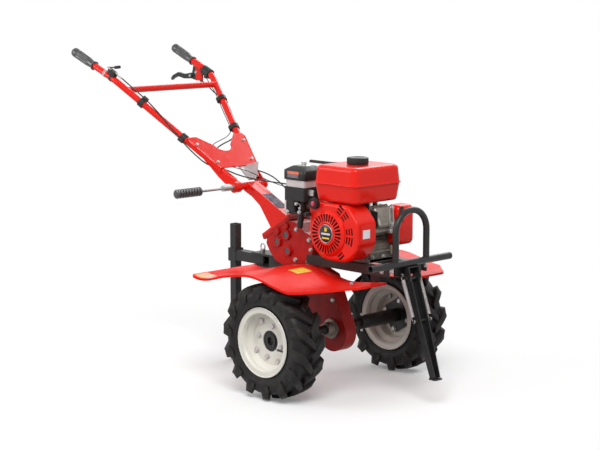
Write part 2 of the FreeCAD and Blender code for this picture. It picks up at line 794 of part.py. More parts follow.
def make_clamp_handle():
    """Threaded rod through the pivot with its long nut, thin shank and the flat head at the far ear."""
    y = clamp_seat_y()
    far = pivot_tube_half + arm_gap + thin_ear_width + washer_wall
    rod = cylinder((pivot_x, -y, pivot_z), (pivot_x, far + thin_ear_head, pivot_z), pivot_rod_radius)
    nut = cylinder((pivot_x, -y - clamp_nut_length, pivot_z), (pivot_x, -y, pivot_z), clamp_nut_radius)
    head = cylinder((pivot_x, far, pivot_z), (pivot_x, far + thin_ear_head, pivot_z), clamp_nut_radius + 2)
    start = -y - clamp_nut_length
    thin = cylinder((pivot_x, start - clamp_rod_length, pivot_z), (pivot_x, start, pivot_z), clamp_rod_radius)
    return rod.fuse([nut, head, thin]).removeSplitter()


def clamp_seat_y():
    """How far out the long nut bears on the right ear's washer."""
    return pivot_tube_half + arm_gap + ear_width + washer_wall


def make_clamp_grip():
    """Ribbed rubber handle at the end of the shank."""
    y = clamp_seat_y() + clamp_nut_length + clamp_rod_length
    pitch = clamp_grip_length / clamp_grip_ribs
    line = [V(0, -y, 0)]
    for rib in range(clamp_grip_ribs):
        start = -y - rib * pitch
        line += [V(clamp_grip_radius - 3, start, 0), V(clamp_grip_radius, start - pitch * 0.25, 0),
                 V(clamp_grip_radius, start - pitch * 0.65, 0), V(clamp_grip_radius - 3, start - pitch * 0.9, 0)]
    line.append(V(clamp_grip_radius - 4, -y - clamp_grip_length, 0))
    line.append(V(0, -y - clamp_grip_length, 0))
    body = Part.Face(Part.makePolygon(line + [line[0]])).revolve(V(0, 0, 0), V(0, 1, 0), 360)
    body.translate(V(pivot_x, 0, pivot_z))
    return body


def make_lock_strap():
    """Plate that ties the gusset plate's foot to the clamp, ending just clear of the pivot tube."""
    slope = tube_slope()
    low_side, high_side = strap_side
    reach = strap_swing + 4
    foot = (pivot_x - reach * math.sin(slope), pivot_z + reach * math.cos(slope))
    over = V(-math.cos(slope), 0, math.sin(slope))
    under = plate_placement()[0] - V(math.sin(slope), 0, math.cos(slope)) * (plate_wall + plate_fit)
    start = under + over * 8
    end = under + over * 40
    down = V(-math.sin(slope), 0, -math.cos(slope)) * strap_wall
    tab = [(p.x, p.z) for p in (start, end, end + down, start + down)]
    body = side_prism(tab, low_side, high_side)
    side = strap_wall * 0.7
    web = [(start.x, start.z), (foot[0] + side, foot[1] + side), (foot[0] - side, foot[1] - side),
           ((start + down).x - side, (start + down).z - side)]
    return body.fuse(side_prism(web, low_side, high_side)).removeSplitter()


# ------------------------------------------------------------------ controls and cables

def tube_frame():
    """Directions along the straight left tube, level outwards from it, and up square to both."""
    along = (V(*tube_bend) - V(*tube_start)).normalize()
    outward = V(along.y, -along.x, 0).normalize()
    return along, outward, outward.cross(along)


def beside_tube(x, out, up):
    along, outward, upward = tube_frame()
    return V(*tube_point(x)) + outward * out + upward * up


def cable_path(points):
    """Straight runs with the largest tangent arcs that both runs of each corner allow."""
    runs = [(b - a).Length for a, b in zip(points, points[1:])]
    edges = []
    radii = []
    start = points[0]
    for index in range(1, len(points) - 1):
        corner = points[index]
        into = (corner - points[index - 1]).normalize()
        out = (points[index + 1] - corner).normalize()
        half_turn = into.getAngle(out) / 2
        reach = cable_arc_share * min(runs[index - 1], runs[index])
        radius = reach / math.tan(half_turn)
        radii.append(radius)
        inward = (out - into).normalize()
        middle = corner + inward * (radius / math.cos(half_turn) - radius)
        first = corner - into * reach
        last = corner + out * reach
        edges.append(Part.LineSegment(start, first).toShape())
        edges.append(Part.Arc(first, middle, last).toShape())
        start = last
    edges.append(Part.LineSegment(start, points[-1]).toShape())
    return Part.Wire(edges), radii


def throttle_route():
    on_tube = [beside_tube(*point) for point in throttle_on_tube]
    return [V(p.x, -p.y, p.z) for p in on_tube] + [V(*point) for point in throttle_free]


def clutch_route():
    on_tube = [beside_tube(*point) for point in clutch_on_tube]
    return [V(*point) for point in clutch_start] + on_tube + [V(*point) for point in clutch_free]


def wire_route():
    return [beside_tube(*point) for point in wire_on_tube] + [V(*point) for point in wire_free]


def make_cable(route, radius, name):
    """Sheath of one cable; its volume is compared with its section times its length."""
    path, radii = cable_path(route)
    cable = swept_rod(path, radius)
    share = cable.Volume / (math.pi * radius ** 2 * path.Length)
    print(name, "length", round(path.Length), "radii", [round(r) for r in radii], "volume share", round(share, 4))
    return cable


def cable_bore(route, radius):
    """The room that a cable takes in what it passes through."""
    return swept_rod(cable_path(route)[0], radius + cable_clearance)


def tube_clip(x, side, lobe_points):
    """Moulded ring round a handle tube with a lobe for each cable that it holds."""
    along, outward, upward = tube_frame()
    middle = V(*tube_point(x))
    start = middle - along * (clip_length / 2)
    ring = Part.makeCylinder(clip_radius, clip_length, start, along)
    for out, up in lobe_points:
        lobe = Part.makeCylinder(clip_lobe, clip_length, start + outward * out + upward * up, along)
        ring = ring.fuse(lobe)
    ring = ring.cut(Part.makeCylinder(tube_radius + plate_fit, clip_length + 2, start - along, along))
    return mirrored(ring) if side < 0 else ring


def route_offset(points, x):
    """Out and up of a clipped cable at one X of its tube."""
    for first, last in zip(points, points[1:]):
        if first[0] <= x <= last[0]:
            share = (x - first[0]) / (last[0] - first[0])
            return tuple(a + (b - a) * share for a, b in zip(first[1:], last[1:]))


def make_cable_clips():
    """Two clips on each tube, bored for the cables that run through them."""
    clips = []
    for x in right_clips:
        clips.append(tube_clip(x, -1, [route_offset(throttle_on_tube, x)]))
    for x in left_clips:
        clips.append(tube_clip(x, 1, [route_offset(clutch_on_tube, x), route_offset(wire_on_tube, x)]))
    bores = [cable_bore(throttle_route(), cable_radius), cable_bore(clutch_route(), cable_radius),
             cable_bore(wire_route(), wire_radius)]
    return Part.makeCompound([clip.cut(bores) for clip in clips])


def grip_frame(x, side):
    """Placement on the tube behind its bend: local X runs to the tube's end, Z is up, Y is outwards."""
    end = V(*tube_end)
    bend = V(*tube_bend)
    along = (end - bend).normalize()
    middle = bend + along * ((x - bend.x) / along.x)
    outward = V(along.y, -along.x, 0).normalize()
    upward = outward.cross(along)
    placement = FreeCAD.Placement(middle, FreeCAD.Rotation(along, outward, upward, "XYZ"))
    return placement


def make_throttle_lever():
    """Throttle housing clamped on the right tube, with its thumb tab on the inner side."""
    half = throttle_length / 2
    body = box((-half, -14, -8), (half, 14, throttle_rise - 8))
    body = rounded(body, 6.0, lambda edge: edge.BoundBox.ZMin > throttle_rise - 9)
    clamp = Part.makeCylinder(clip_radius, throttle_length * 0.5, V(-half * 0.5, 0, 0), V(1, 0, 0))
    hub = cylinder((6, -20, 22), (6, -12, 22), 13)
    tab = box((-18, -32, 22), (20, -16, 34))
    tab = rounded(tab, 4.0, lambda edge: is_along(edge, V(0, 0, 1)))
    lever = body.fuse([clamp, hub, tab])
    lever.Placement = grip_frame(throttle_x, -1)
    lever = lever.cut(swept_rod(handle_path(1), tube_radius + plate_fit))
    return mirrored(lever.removeSplitter())


def make_switch_clamp():
    """Stop switch housing round the left tube, split at its clamp screw."""
    half = switch_length / 2
    body = Part.makeCylinder(switch_radius, switch_length, V(-half, 0, 2), V(1, 0, 0))
    body = rounded(body, 3.0, lambda edge: edge.BoundBox.XLength < 0.1)
    button = cylinder((0, 0, switch_radius - 2), (0, 0, switch_radius + 7), 9)
    body = body.fuse(button)
    body.Placement = grip_frame(switch_x, 1)
    wire = cable_bore(wire_route(), wire_radius)
    return body.cut(swept_rod(handle_path(1), tube_radius + plate_fit)).cut(wire).removeSplitter()


def make_clutch_lever():
    """Bracket under the left tube with the cranked lever on its pin."""
    rear, front, low = clutch_plate
    half = 2.0
    bracket = side_prism([(rear - 16, low + 6), (rear + 14, low), (front, low), (front, low + 62), (rear, low + 74)],
                         clutch_y - half, clutch_y + half)
    x, z = clutch_pivot
    tail = [(x + 22, z - 12), (x, z - 12), (-1112, 1036), (-1150, 1044), (-1178, 1034), (-1191, 1026),
            (-1194, 1034), (-1183, 1046), (-1150, 1060), (-1112, 1054), (x, z + 12), (x + 22, z + 4)]
    lever = side_prism(tail, clutch_y + half, clutch_y + half + 4)
    fork = side_prism(tail, clutch_y - half - 4, clutch_y - half)
    blade = side_prism(tail[2:10], clutch_y - half, clutch_y + half)
    pin = cylinder((x, clutch_y - 12, z), (x, clutch_y + 12, z), 6)
    stop = cylinder((front - 3, clutch_y, low - 2), (front - 9, clutch_y, low + 3), 6)
    body = bracket.fuse([lever, fork, blade, pin, stop])
    bore = Part.makeCylinder(cable_radius + cable_clearance, 20, V(*clutch_start[0]),
                             V(*clutch_start[0]) - V(*clutch_start[1]))
    return body.cut(bore).cut(swept_rod(handle_path(1), tube_radius + plate_fit)).removeSplitter()


def make_shift_lever():
    """Gear lever on the gearbox's left side: boss, cranked rod and flat handle."""
    x, z = shift_boss
    y = shift_y
    boss = cylinder((x, case_half_width, z), (x, y + 6, z), 14)
    path = bent_path([(x, y, z), (-45, y, 600), (-22, y, 772), (-50, y, 786), (-120, y, 782)], 12.0)
    rod = swept_rod(path, 5.0)
    handle = box((-225, y - 7, 777), (-105, y + 7, 787))
    handle = rounded(handle, 4.0, lambda edge: is_along(edge, V(0, 0, 1)) or edge.BoundBox.ZMin > 786)
    return boss.fuse([rod, handle]).removeSplitter()


def make_control_bracket():
    """Governor plate on the crankcase with the throttle cable's stop at its rear."""
    rear, front, low, high = control_plate
    y = control_y
    plate = side_prism([(rear, high - 22), (rear, high), (front, high), (70, 652), (70, low), (front - 22, low)],
                       y, y + 3)
    stop = box((rear - 4, y, high - 20), (rear, 6, high))
    arm = side_prism([(rear + 14, high - 46), (rear + 22, high - 46), (rear + 26, high - 10), (rear + 18, high - 10)],
                     y - 3, y)
    return plate.fuse([stop, arm]).cut(make_crankcase()).removeSplitter()


# ------------------------------------------------------------------ engine

def make_crankcase():
    low_x = crank_x - 88
    high_x = crank_x + 96
    base = box((low_x, -66, engine_base_z), (high_x, 74, engine_base_z + 12))
    body = side_prism(
        [(low_x + 12, engine_base_z + 12), (high_x - 16, engine_base_z + 12), (high_x - 12, crank_z - 45),
         (crank_x + 62, crank_z - 20), (crank_x + 40, crank_z + 70), (crank_x - 40, crank_z + 84),
         (low_x + 4, crank_z + 40)],
        fan_front_y + fan_depth, crankcase_half)
    body = rounded(body, 12.0, lambda edge: is_along(edge, V(0, 1, 0)) and edge.BoundBox.ZMax > engine_base_z + 20)
    cover = cylinder((crank_x, crankcase_half, crank_z), (crank_x, crankcase_half + 8, crank_z), 78)
    snout = cylinder((crank_x, crankcase_half, crank_z), (crank_x, belt_back_y, crank_z), 26)
    posts = [cylinder((x, y, crank_z), (x, y, tank_bottom_z), 9)
             for x in (crank_x - 30, crank_x + 30) for y in (-60, 30)]
    return base.fuse([body, cover, snout] + posts).removeSplitter()


def make_cylinder():
    """Finned barrel and head, leaning forward above the horizontal."""
    solids = []
    lean = FreeCAD.Placement(V(crank_x, cylinder_y, crank_z), FreeCAD.Rotation(V(0, 1, 0), -cylinder_tilt))
    core = box((40, -34, -34), (cylinder_reach, 34, 34))
    solids.append(core)
    for fin in range(6):
        x = cylinder_reach - 48 + fin * 8
        solids.append(box((x, -fin_half_width, -48), (x + 3, fin_half_width, 48)))
    body = solids[0].fuse(solids[1:])
    body.Placement = lean
    x, z = muffler_inlet
    port = cylinder((x, cylinder_y, z), (x, cylinder_y + fin_half_width, z), muffler_stub_radius)
    return body.cut(make_crankcase()).fuse(port).removeSplitter()


def make_rocker_cover():
    lean = FreeCAD.Placement(V(crank_x, cylinder_y, crank_z), FreeCAD.Rotation(V(0, 1, 0), -cylinder_tilt))
    end = cylinder_reach + rocker_depth
    body = box((cylinder_reach, -42, -36), (end, 42, 36))
    body = rounded(body, 8.0, lambda edge: edge.BoundBox.XMin > end - 1 or is_along(edge, V(1, 0, 0)))
    body.Placement = lean
    return body


def fan_outline():
    """Front outline of the fan housing about the crank: round below, ducted forward above."""
    r = fan_radius
    return rounded_outline([
        (-r, -r, r - 0.5), (-r, fan_rise, 12), (fan_reach - 54, fan_rise, 36),
        (fan_reach, fan_rise - 56, 36), (fan_reach, -r, 84),
    ])


def arc_slot(inner, outer, first_angle, last_angle):
    """A curved slot's face about the crank, between two radii and two angles."""
    def at(radius, angle):
        turn = math.radians(angle)
        return V(radius * math.cos(turn), 0, radius * math.sin(turn))

    middle = 0.5 * (first_angle + last_angle)
    edges = [
        Part.Arc(at(inner, first_angle), at(inner, middle), at(inner, last_angle)).toShape(),
        Part.LineSegment(at(inner, last_angle), at(outer, last_angle)).toShape(),
        Part.Arc(at(outer, last_angle), at(outer, middle), at(outer, first_angle)).toShape(),
        Part.LineSegment(at(outer, first_angle), at(inner, first_angle)).toShape(),
    ]
    return Part.Face(Part.Wire(edges))


def make_fan_cover():
    """Fan housing: a pressed shell round the flywheel with its arc slots beside the starter."""
    face = Part.Face(fan_outline())
    body = face.extrude(V(0, fan_depth, 0))
    body = rounded(body, 10.0, lambda edge: edge.BoundBox.YMax < 0.01)
    inner = face.makeOffset2D(-fan_wall).extrude(V(0, fan_depth, 0))
    inner.translate(V(0, fan_wall + 4, 0))
    body = body.cut(inner)
    body = body.cut(cylinder((0, -1, 0), (0, 20, 0), recoil_ring_outer))
    slots = []
    for first_angle, last_angle, rows in cover_slot_groups:
        for inner_radius, outer_radius in cover_slot_rows[:rows]:
            slot = arc_slot(inner_radius, outer_radius, first_angle, last_angle)
            slot.translate(V(0, -1, 0))
            slots.append(slot.extrude(V(0, 20, 0)))
    body = body.cut(slots)
    body.translate(V(crank_x, fan_front_y, crank_z))
    return body


def make_recoil_starter():
    """Starter housing: a dished cap with a ring of radial air slots."""
    depth = recoil_depth
    line = [V(0, -depth, 0), V(recoil_ring_outer, -depth, 0), V(recoil_radius, -depth + 8, 0),
            V(recoil_radius, 0, 0), V(recoil_ring_outer, 0, 0), V(recoil_ring_outer - 1, -depth + 3, 0),
            V(0, -depth + 3, 0)]
    cap = Part.Face(Part.makePolygon(line + [line[0]])).revolve(V(0, 0, 0), V(0, 1, 0), 360)
    slots = []
    for step in range(recoil_slots):
        slot = box((recoil_ring_inner + 6, -depth - 1, -2.2), (recoil_ring_outer - 4, -depth + 4, 2.2))
        slot.rotate(V(0, 0, 0), V(0, 1, 0), 360.0 * step / recoil_slots)
        slots.append(slot)
    cap = cap.cut(slots)
    cap.translate(V(crank_x, fan_front_y, crank_z))
    return cap


def make_recoil_handle():
    x = crank_x - fan_radius + 12
    z = crank_z + 40
    y = fan_front_y - 4
    stem = cylinder((x, y - 6, z), (x - 10, y - 6, z + 22), 5)
    bar = cylinder((x - 8, y - 20, z + 18), (x - 8, y + 3.8, z + 18), 7)
    return stem.fuse(bar)


def tank_section(z, inset):
    half_x = tank_size_x / 2 - inset
    half_y = tank_size_y / 2 - inset
    low = V(tank_centre[0] - half_x, tank_centre[1] - half_y, z)
    high = V(tank_centre[0] + half_x, tank_centre[1] + half_y, z)
    corners = [V(low.x, low.y, z), V(high.x, low.y, z), V(high.x, high.y, z), V(low.x, high.y, z)]
    return Part.makePolygon(corners + [corners[0]])


def make_fuel_tank():
    """Two pressed halves with the rolled seam between them."""
    seam = tank_bottom_z + tank_seam_height
    top = tank_bottom_z + tank_height
    lower = Part.makeLoft([tank_section(tank_bottom_z, 12), tank_section(seam, tank_lip)], True, True)
    lower = rounded(lower, tank_corner, lambda edge: edge.BoundBox.ZLength > 1)
    lower = rounded(lower, 14.0, lambda edge: edge.BoundBox.ZMax < tank_bottom_z + 0.1)
    upper = Part.makeLoft([tank_section(seam, tank_lip), tank_section(top, 9)], True, True)
    upper = rounded(upper, tank_corner, lambda edge: edge.BoundBox.ZLength > 1)
    upper = rounded(upper, 16.0, lambda edge: edge.BoundBox.ZMin > top - 0.1)
    lip = Part.Face(tank_section(seam - 1.5, 0)).extrude(V(0, 0, 3))
    lip = rounded(lip, tank_corner + tank_lip, lambda edge: is_along(edge, V(0, 0, 1)))
    return lower.fuse([upper, lip]).removeSplitter()


def make_fuel_cap():
    base = V(tank_centre[0], tank_centre[1], tank_bottom_z + tank_height)
    cap = Part.makeCylinder(cap_radius, cap_height, base)
    cap = rounded(cap, 5.0, lambda edge: edge.BoundBox.ZMin > base.z + cap_height - 0.1)
    for step in range(12):
        notch = Part.makeCylinder(4.0, cap_height - 8, base + V(cap_radius + 2.2, 0, 0))
        notch.rotate(base, V(0, 0, 1), 30 * step)
        cap = cap.cut(notch)
    return cap


def make_air_cleaner_cap():
    """Moulded lid with its chamfered shoulders and the wing nut."""
    cap = box((cleaner_low[0], cleaner_low[1], cleaner_cap_z), (cleaner_high[0], cleaner_high[1], cleaner_top_z))
    cap = rounded(cap, 11.0, lambda edge: is_along(edge, V(0, 0, 1)))
    cap = rounded(cap, 9.0, lambda edge: edge.BoundBox.ZMin > cleaner_top_z - 0.1)
    x = 0.5 * (cleaner_low[0] + cleaner_high[0]) + 20
    y = 0.5 * (cleaner_low[1] + cleaner_high[1])
    stud = cylinder((x, y, cleaner_top_z), (x, y, cleaner_top_z + 16), 3)
    nut = cylinder((x, y, cleaner_top_z), (x, y, cleaner_top_z + 8), 8)
    wing = box((x - 17, y - 2, cleaner_top_z + 3), (x + 17, y + 2, cleaner_top_z + 17))
    wing = wing.cut(box((x - 9, y - 3, cleaner_top_z + 10), (x + 9, y + 3, cleaner_top_z + 18)))
    return cap.fuse([stud, nut, wing]).removeSplitter()


def make_air_cleaner_band():
    band = box((cleaner_low[0] + 5, cleaner_low[1] + 5, cleaner_band_z),
               (cleaner_high[0] - 5, cleaner_high[1] - 5, cleaner_cap_z))
    return rounded(band, 12.0, lambda edge: is_along(edge, V(0, 0, 1)))


def make_air_cleaner_body():
    """Filter housing with the leg and foot plate at its rear and the leaning breather hose."""
    low_x, low_y = cleaner_low[0] + 2, cleaner_low[1] + 2
    high_x, high_y = cleaner_high[0] - 4, cleaner_high[1] - 3
    belly = box((low_x, low_y, cleaner_belly_z), (high_x, high_y, cleaner_band_z))
    belly = rounded(belly, 9.0, lambda edge: is_along(edge, V(0, 0, 1)))
    leg = box((low_x, low_y, cleaner_low_z + 8), (cleaner_leg_x, high_y, cleaner_band_z - 1))
    leg = rounded(leg, 9.0, lambda edge: is_along(edge, V(0, 0, 1)))
    foot = box((low_x + 2, low_y + 4, cleaner_low_z), (cleaner_leg_x + 14, high_y - 5, cleaner_low_z + 8))
    foot = rounded(foot, 12.0, lambda edge: is_along(edge, V(0, 0, 1)))
    hose = cylinder(breather_low, (*breather_top, cleaner_belly_z + 4), breather_radius)
    return belly.fuse([leg, foot, hose]).removeSplitter()


def make_carburettor():
    """Throttle body from the air cleaner to the head's side, with its float bowl below."""
    y = 0.5 * (cleaner_low[1] + cleaner_high[1])
    z = cleaner_low_z + 36
    bore = cylinder((cleaner_leg_x - 4, y, z), (crank_x - 46, y, z), 19)
    flange = box((crank_x - 104, y - 30, z - 24), (crank_x - 98, y + 30, z + 24))
    flange = rounded(flange, 12.0, lambda edge: is_along(edge, V(1, 0, 0)))
    x = 0.5 * (cleaner_high[0] + crank_x - 98) - 12
    bowl = cylinder((x, y, z - 48), (x, y, z - 12), 21)
    bowl = rounded(bowl, 6.0, lambda edge: edge.BoundBox.ZMax < z - 47)
    body = bore.fuse([bowl, flange])
    shroud_edge = crank_x - fan_radius - seat_gap
    shroud = box((shroud_edge, fan_front_y, z - 60), (crank_x, fan_front_y + fan_depth + seat_gap, z + 60))
    body = body.cut(make_air_cleaner_body()).cut(make_crankcase()).cut(shroud)
    return max(body.Solids, key=lambda solid: solid.Volume)


def make_muffler():
    """Silencer box beside the head with its inlet stub."""
    body = box(*muffler_box)
    body = rounded(body, 16.0, lambda edge: True)
    x, z = muffler_inlet
    port_y = cylinder_y + fin_half_width
    stub = cylinder((x, port_y + seat_gap, z), (x, muffler_box[0][1] + 10, z), muffler_stub_radius)
    return body.fuse(stub).removeSplitter()


def make_muffler_shield():
    """Pressed guard over the silencer, open at the back, with a round pad on its front."""
    low, high = shield_box
    wall = shield_wall
    outer = box(low, high)
    outer = rounded(outer, 20.0, lambda edge: edge.BoundBox.XMin > high[0] - 1 or is_along(edge, V(1, 0, 0)))
    inner_low = (low[0] - 1, low[1] + wall, low[2] + wall)
    inner_high = (high[0] - wall, high[1] - wall, high[2] - wall)
    inner = box(inner_low, inner_high)
    inner = rounded(inner, 18.0, lambda edge: edge.BoundBox.XMin > inner_high[0] - 1 or is_along(edge, V(1, 0, 0)))
    middle_y = 0.5 * (low[1] + high[1])
    middle_z = 0.5 * (low[2] + high[2])
    face = muffler_box[1][0] + seat_gap
    pad = cylinder((face, middle_y, middle_z), (high[0] - 1, middle_y, middle_z), 8)
    x, z = muffler_inlet
    room = cylinder((x, low[1] - 1, z), (x, low[1] + wall + 1, z), muffler_stub_radius + 1)
    return outer.cut(inner).cut(room).fuse(pad)


def make_engine_switch():
    x = crank_x - 62
    z = crank_z + 96
    body = cylinder((x, fan_front_y - 14, z), (x, fan_front_y, z), 15)
    rocker = box((x - 7, fan_front_y - 18, z - 9), (x + 7, fan_front_y - 14, z + 9))
    return body.fuse(rocker)


def make_belt_cover():
    """Belt guard on the left: a pressed tray round both pulleys, closed by its back plate."""
    gear = shaft_bosses[0]
    rear = V(gear[0], belt_back_y, gear[1])
    front = V(crank_x, belt_back_y, crank_z)
    along = front - rear
    lean = math.atan2(along.z, along.x)
    spread = math.acos((belt_rear_radius - belt_front_radius) / along.Length)
    arcs = []
    points = []
    for centre, radius in ((rear, belt_rear_radius), (front, belt_front_radius)):
        for sign in (1, -1):
            angle = lean + sign * spread
            points.append(centre + V(radius * math.cos(angle), 0, radius * math.sin(angle)))
    back = rear - along.normalize() * belt_rear_radius
    nose = front + (front - rear).normalize() * belt_front_radius
    arcs.append(Part.Arc(points[0], back, points[1]).toShape())
    arcs.append(Part.LineSegment(points[1], points[3]).toShape())
    arcs.append(Part.Arc(points[3], nose, points[2]).toShape())
    arcs.append(Part.LineSegment(points[2], points[0]).toShape())
    body = Part.Face(Part.Wire(arcs)).extrude(V(0, belt_cover_depth, 0))
    return rounded(body, 10.0, lambda edge: edge.BoundBox.YMin > belt_back_y + belt_cover_depth - 0.1)


# ------------------------------------------------------------------ front frame

def make_engine_rails():
    """Two angle rails from the gearbox to the bumper with their cross plates."""
    parts = []
    for side in (-1, 1):
        low = side * rail_y - rail_width / 2
        high = side * rail_y + rail_width / 2
        rail = box((rail_rear_x, low, engine_base_z - rail_height), (bar_x - bar_radius, high, engine_base_z))
        inside = box((rail_rear_x - 1, low + (4 if side < 0 else -1), engine_base_z - rail_height - 1),
                     (bar_x, high - (4 if side > 0 else -1), engine_base_z - 4))
        parts.append(rail.cut(inside))
    inner = rail_y - rail_width / 2
    rear = box((rail_rear_x, -inner, engine_base_z - rail_height), (rail_rear_x + 6, inner, engine_base_z))
    front_x = bar_x - bar_radius
    front = box((front_x - 6, -inner, engine_base_z - rail_height), (front_x, inner, engine_base_z))
    return parts[0].fuse([parts[1], rear, front]).removeSplitter()


def make_bumper():
    bar = pipe_ring((bar_x, -bar_half, bar_z), (bar_x, bar_half, bar_z), bar_radius, bar_radius - bar_wall)
    foot = bar_z + bar_radius - 2
    path = bent_path([(bar_x, -hoop_half, foot), (bar_x, -hoop_half, hoop_top_z),
                      (bar_x, hoop_half, hoop_top_z), (bar_x, hoop_half, foot)], hoop_bend)
    hoop = swept_rod(path, hoop_radius)
    core = cylinder((bar_x, -bar_half, bar_z), (bar_x, bar_half, bar_z), bar_radius - bar_wall)
    return bar.fuse(hoop).cut(core).removeSplitter()


def make_stand_bracket():
    """Two cheeks below the bumper that hold the stand's pin and the springs' hook pins."""
    inner = stand_width / 2 + 1.0
    outer = inner + cheek_wall
    cheeks = []
    for low in (-outer, inner):
        outline = [(bar_x - bar_radius, bar_z - 56), (bar_x - bar_radius, bar_z - bar_radius),
                   (bar_x + bar_radius, bar_z - bar_radius), (stand_pivot_x + 16, stand_pivot_z + 8),
                   (stand_pivot_x + 12, stand_pivot_z - 14), (stand_pivot_x - 14, stand_pivot_z - 14)]
        cheeks.append(side_prism(outline, low, low + cheek_wall))
    pins = [cylinder((stand_pivot_x, -outer - 6, stand_pivot_z), (stand_pivot_x, outer + 6, stand_pivot_z),
                     stand_pin_radius)]
    x, z = spring_ends()[0]
    for side in (-1, 1):
        pins.append(cylinder((x, side * (outer - 1), z), (x, side * (spring_y + 8), z), spring_pin_radius))
    web = box((bar_x - bar_radius, -outer, bar_z - bar_radius - 4), (bar_x + bar_radius, outer, bar_z - bar_radius))
    body = cheeks[0].fuse([cheeks[1], web] + pins)
    return body.cut(make_bumper()).removeSplitter()


def make_stand():
    """Channel leg with its foot plate and the springs' cross pin, built upright and then leaned forward."""
    half = stand_width / 2
    low_half = stand_low_width / 2
    wall = stand_wall
    low = -stand_length + foot_wall
    outline = [V(-stand_depth, -half, 0), V(-stand_depth, -half, -spring_leg_drop), V(-stand_depth, -low_half, low),
               V(-stand_depth, low_half, low), V(-stand_depth, half, -spring_leg_drop), V(-stand_depth, half, 0)]
    leg = Part.Face(Part.makePolygon(outline + [outline[0]])).extrude(V(2 * stand_depth, 0, 0))
    head = cylinder((0, -half, 0), (0, half, 0), stand_depth)
    inner = [V(-stand_depth + wall, -half + wall, stand_depth + 1), V(-stand_depth + wall, -half + wall, -spring_leg_drop),
             V(-stand_depth + wall, -low_half + wall, low), V(-stand_depth + wall, low_half - wall, low),
             V(-stand_depth + wall, half - wall, -spring_leg_drop), V(-stand_depth + wall, half - wall, stand_depth + 1)]
    hollow = Part.Face(Part.makePolygon(inner + [inner[0]])).extrude(V(3 * stand_depth, 0, 0))
    foot = box((-foot_length / 2, -foot_width / 2, -stand_length), (foot_length / 2, foot_width / 2, low))
    foot = rounded(foot, 8.0, lambda edge: is_along(edge, V(0, 0, 1)))
    foot.rotate(V(0, 0, -stand_length), V(0, 1, 0), stand_lean)
    pin = cylinder((0, -spring_y - 8, -spring_leg_drop), (0, spring_y + 8, -spring_leg_drop), spring_pin_radius)
    body = leg.fuse(head).cut(hollow).fuse([foot, pin])
    body = body.cut(cylinder((0, -stand_width, 0), (0, stand_width, 0), stand_pin_radius + 0.08))
    body.rotate(V(0, 0, 0), V(0, 1, 0), -stand_lean)
    body.translate(V(stand_pivot_x, 0, stand_pivot_z))
    return body.removeSplitter()


def spring_ends():
    """Centres of the springs' upper hook pins and of the leg's cross pin, seen from the side."""
    lean = math.radians(stand_lean)
    top = (stand_pivot_x + spring_hook[0], stand_pivot_z + spring_hook[1])
    low = (stand_pivot_x + spring_leg_drop * math.sin(lean), stand_pivot_z - spring_leg_drop * math.cos(lean))
    return top, low


def make_stand_springs():
    """Plain envelope of the left spring, hooked round both of its pins."""
    top, low = spring_ends()
    start = V(top[0], spring_y, top[1])
    end = V(low[0], spring_y, low[1])
    along = (end - start).normalize()
    gap = spring_pin_radius + 0.3
    return Part.makeCylinder(spring_radius, (end - start).Length - 2 * gap, start + along * gap, along)


# ------------------------------------------------------------------ fenders

def fender_layer(drop, wall, inner, outer):
    """A sheet that follows the fender's side line, from one Y to another."""
    heights = ((fender_rear_x, 402), (-252, 400), (-196, 415), (-100, 433), (-59, 437), (4, 432),
               (66, 418), (135, 405), (220, 409), (fender_front_x, 421))
    curve = Part.BSplineCurve()
    curve.interpolate([V(x, 0, z - drop) for x, z in heights])
    top = curve.toShape()
    low = top.copy()
    low.translate(V(0, 0, -wall))
    ends = []
    for x, z in (heights[0], heights[-1]):
        ends.append(Part.LineSegment(V(x, 0, z - drop), V(x, 0, z - drop - wall)).toShape())
    wire = Part.Wire(Part.sortEdges([top, ends[1], low, ends[0]])[0])
    sheet = Part.Face(wire).extrude(V(0, outer - inner, 0))
    sheet.translate(V(0, inner, 0))
    return sheet


def fender_plan(inset):
    """Outline seen from above, from the frame side out to the wheel's far side, as an upright prism."""
    inner = fender_inner + inset
    outer = fender_outer - inset
    front = fender_front_x - inset
    corner = fender_corner_x - inset * 0.4
    corner_y = fender_corner_y - inset * 0.4
    rear = fender_rear_x + inset
    radius = fender_corner_radius - inset
    outline = rounded_outline([
        (rear, inner, 8), (rear, outer, 12), (corner, outer, radius), (front, corner_y, radius), (front, inner, 8),
    ])
    face = Part.Face(outline)
    face.rotate(V(0, 0, 0), V(1, 0, 0), -90)
    face.translate(V(0, 0, 300))
    return face.extrude(V(0, 0, 200))


def make_fender():
    """Left fender: pressed sheet that arches over the wheel, with its front corner cut off and a rolled lip."""
    plan = fender_plan(0.0)
    sheet = fender_layer(0.0, fender_wall, fender_inner, fender_outer).common(plan)
    rim = fender_layer(fender_wall * 0.5, fender_lip, fender_inner, fender_outer).common(plan)
    rim = rim.cut(fender_plan(fender_wall)).cut(box((fender_rear_x, 0, 300), (fender_front_x + 1, fender_inner + 4, 500)))
    return sheet.fuse(rim).removeSplitter()


def make_fender_brackets():
    """Straps below each fender, from the gearbox at the rear and the rails at the front."""
    rear = fender_layer(fender_wall + 0.2, 4.0, case_half_width, fender_inner + 30)
    rear = rear.common(box((-150, 0, 0), (-110, fender_outer, 500)))
    front = fender_layer(fender_wall + 0.2, 4.0, rail_y - rail_width / 2, fender_inner + 30)
    front = front.common(box((230, 0, 0), (270, fender_outer, 500)))
    inner = rail_y - rail_width / 2
    front = front.fuse(box((230, inner, 408), (270, inner + 4, engine_base_z - rail_height)))
    return Part.makeCompound([rear, front, mirrored(rear), mirrored(front)])


# ------------------------------------------------------------------ hitch

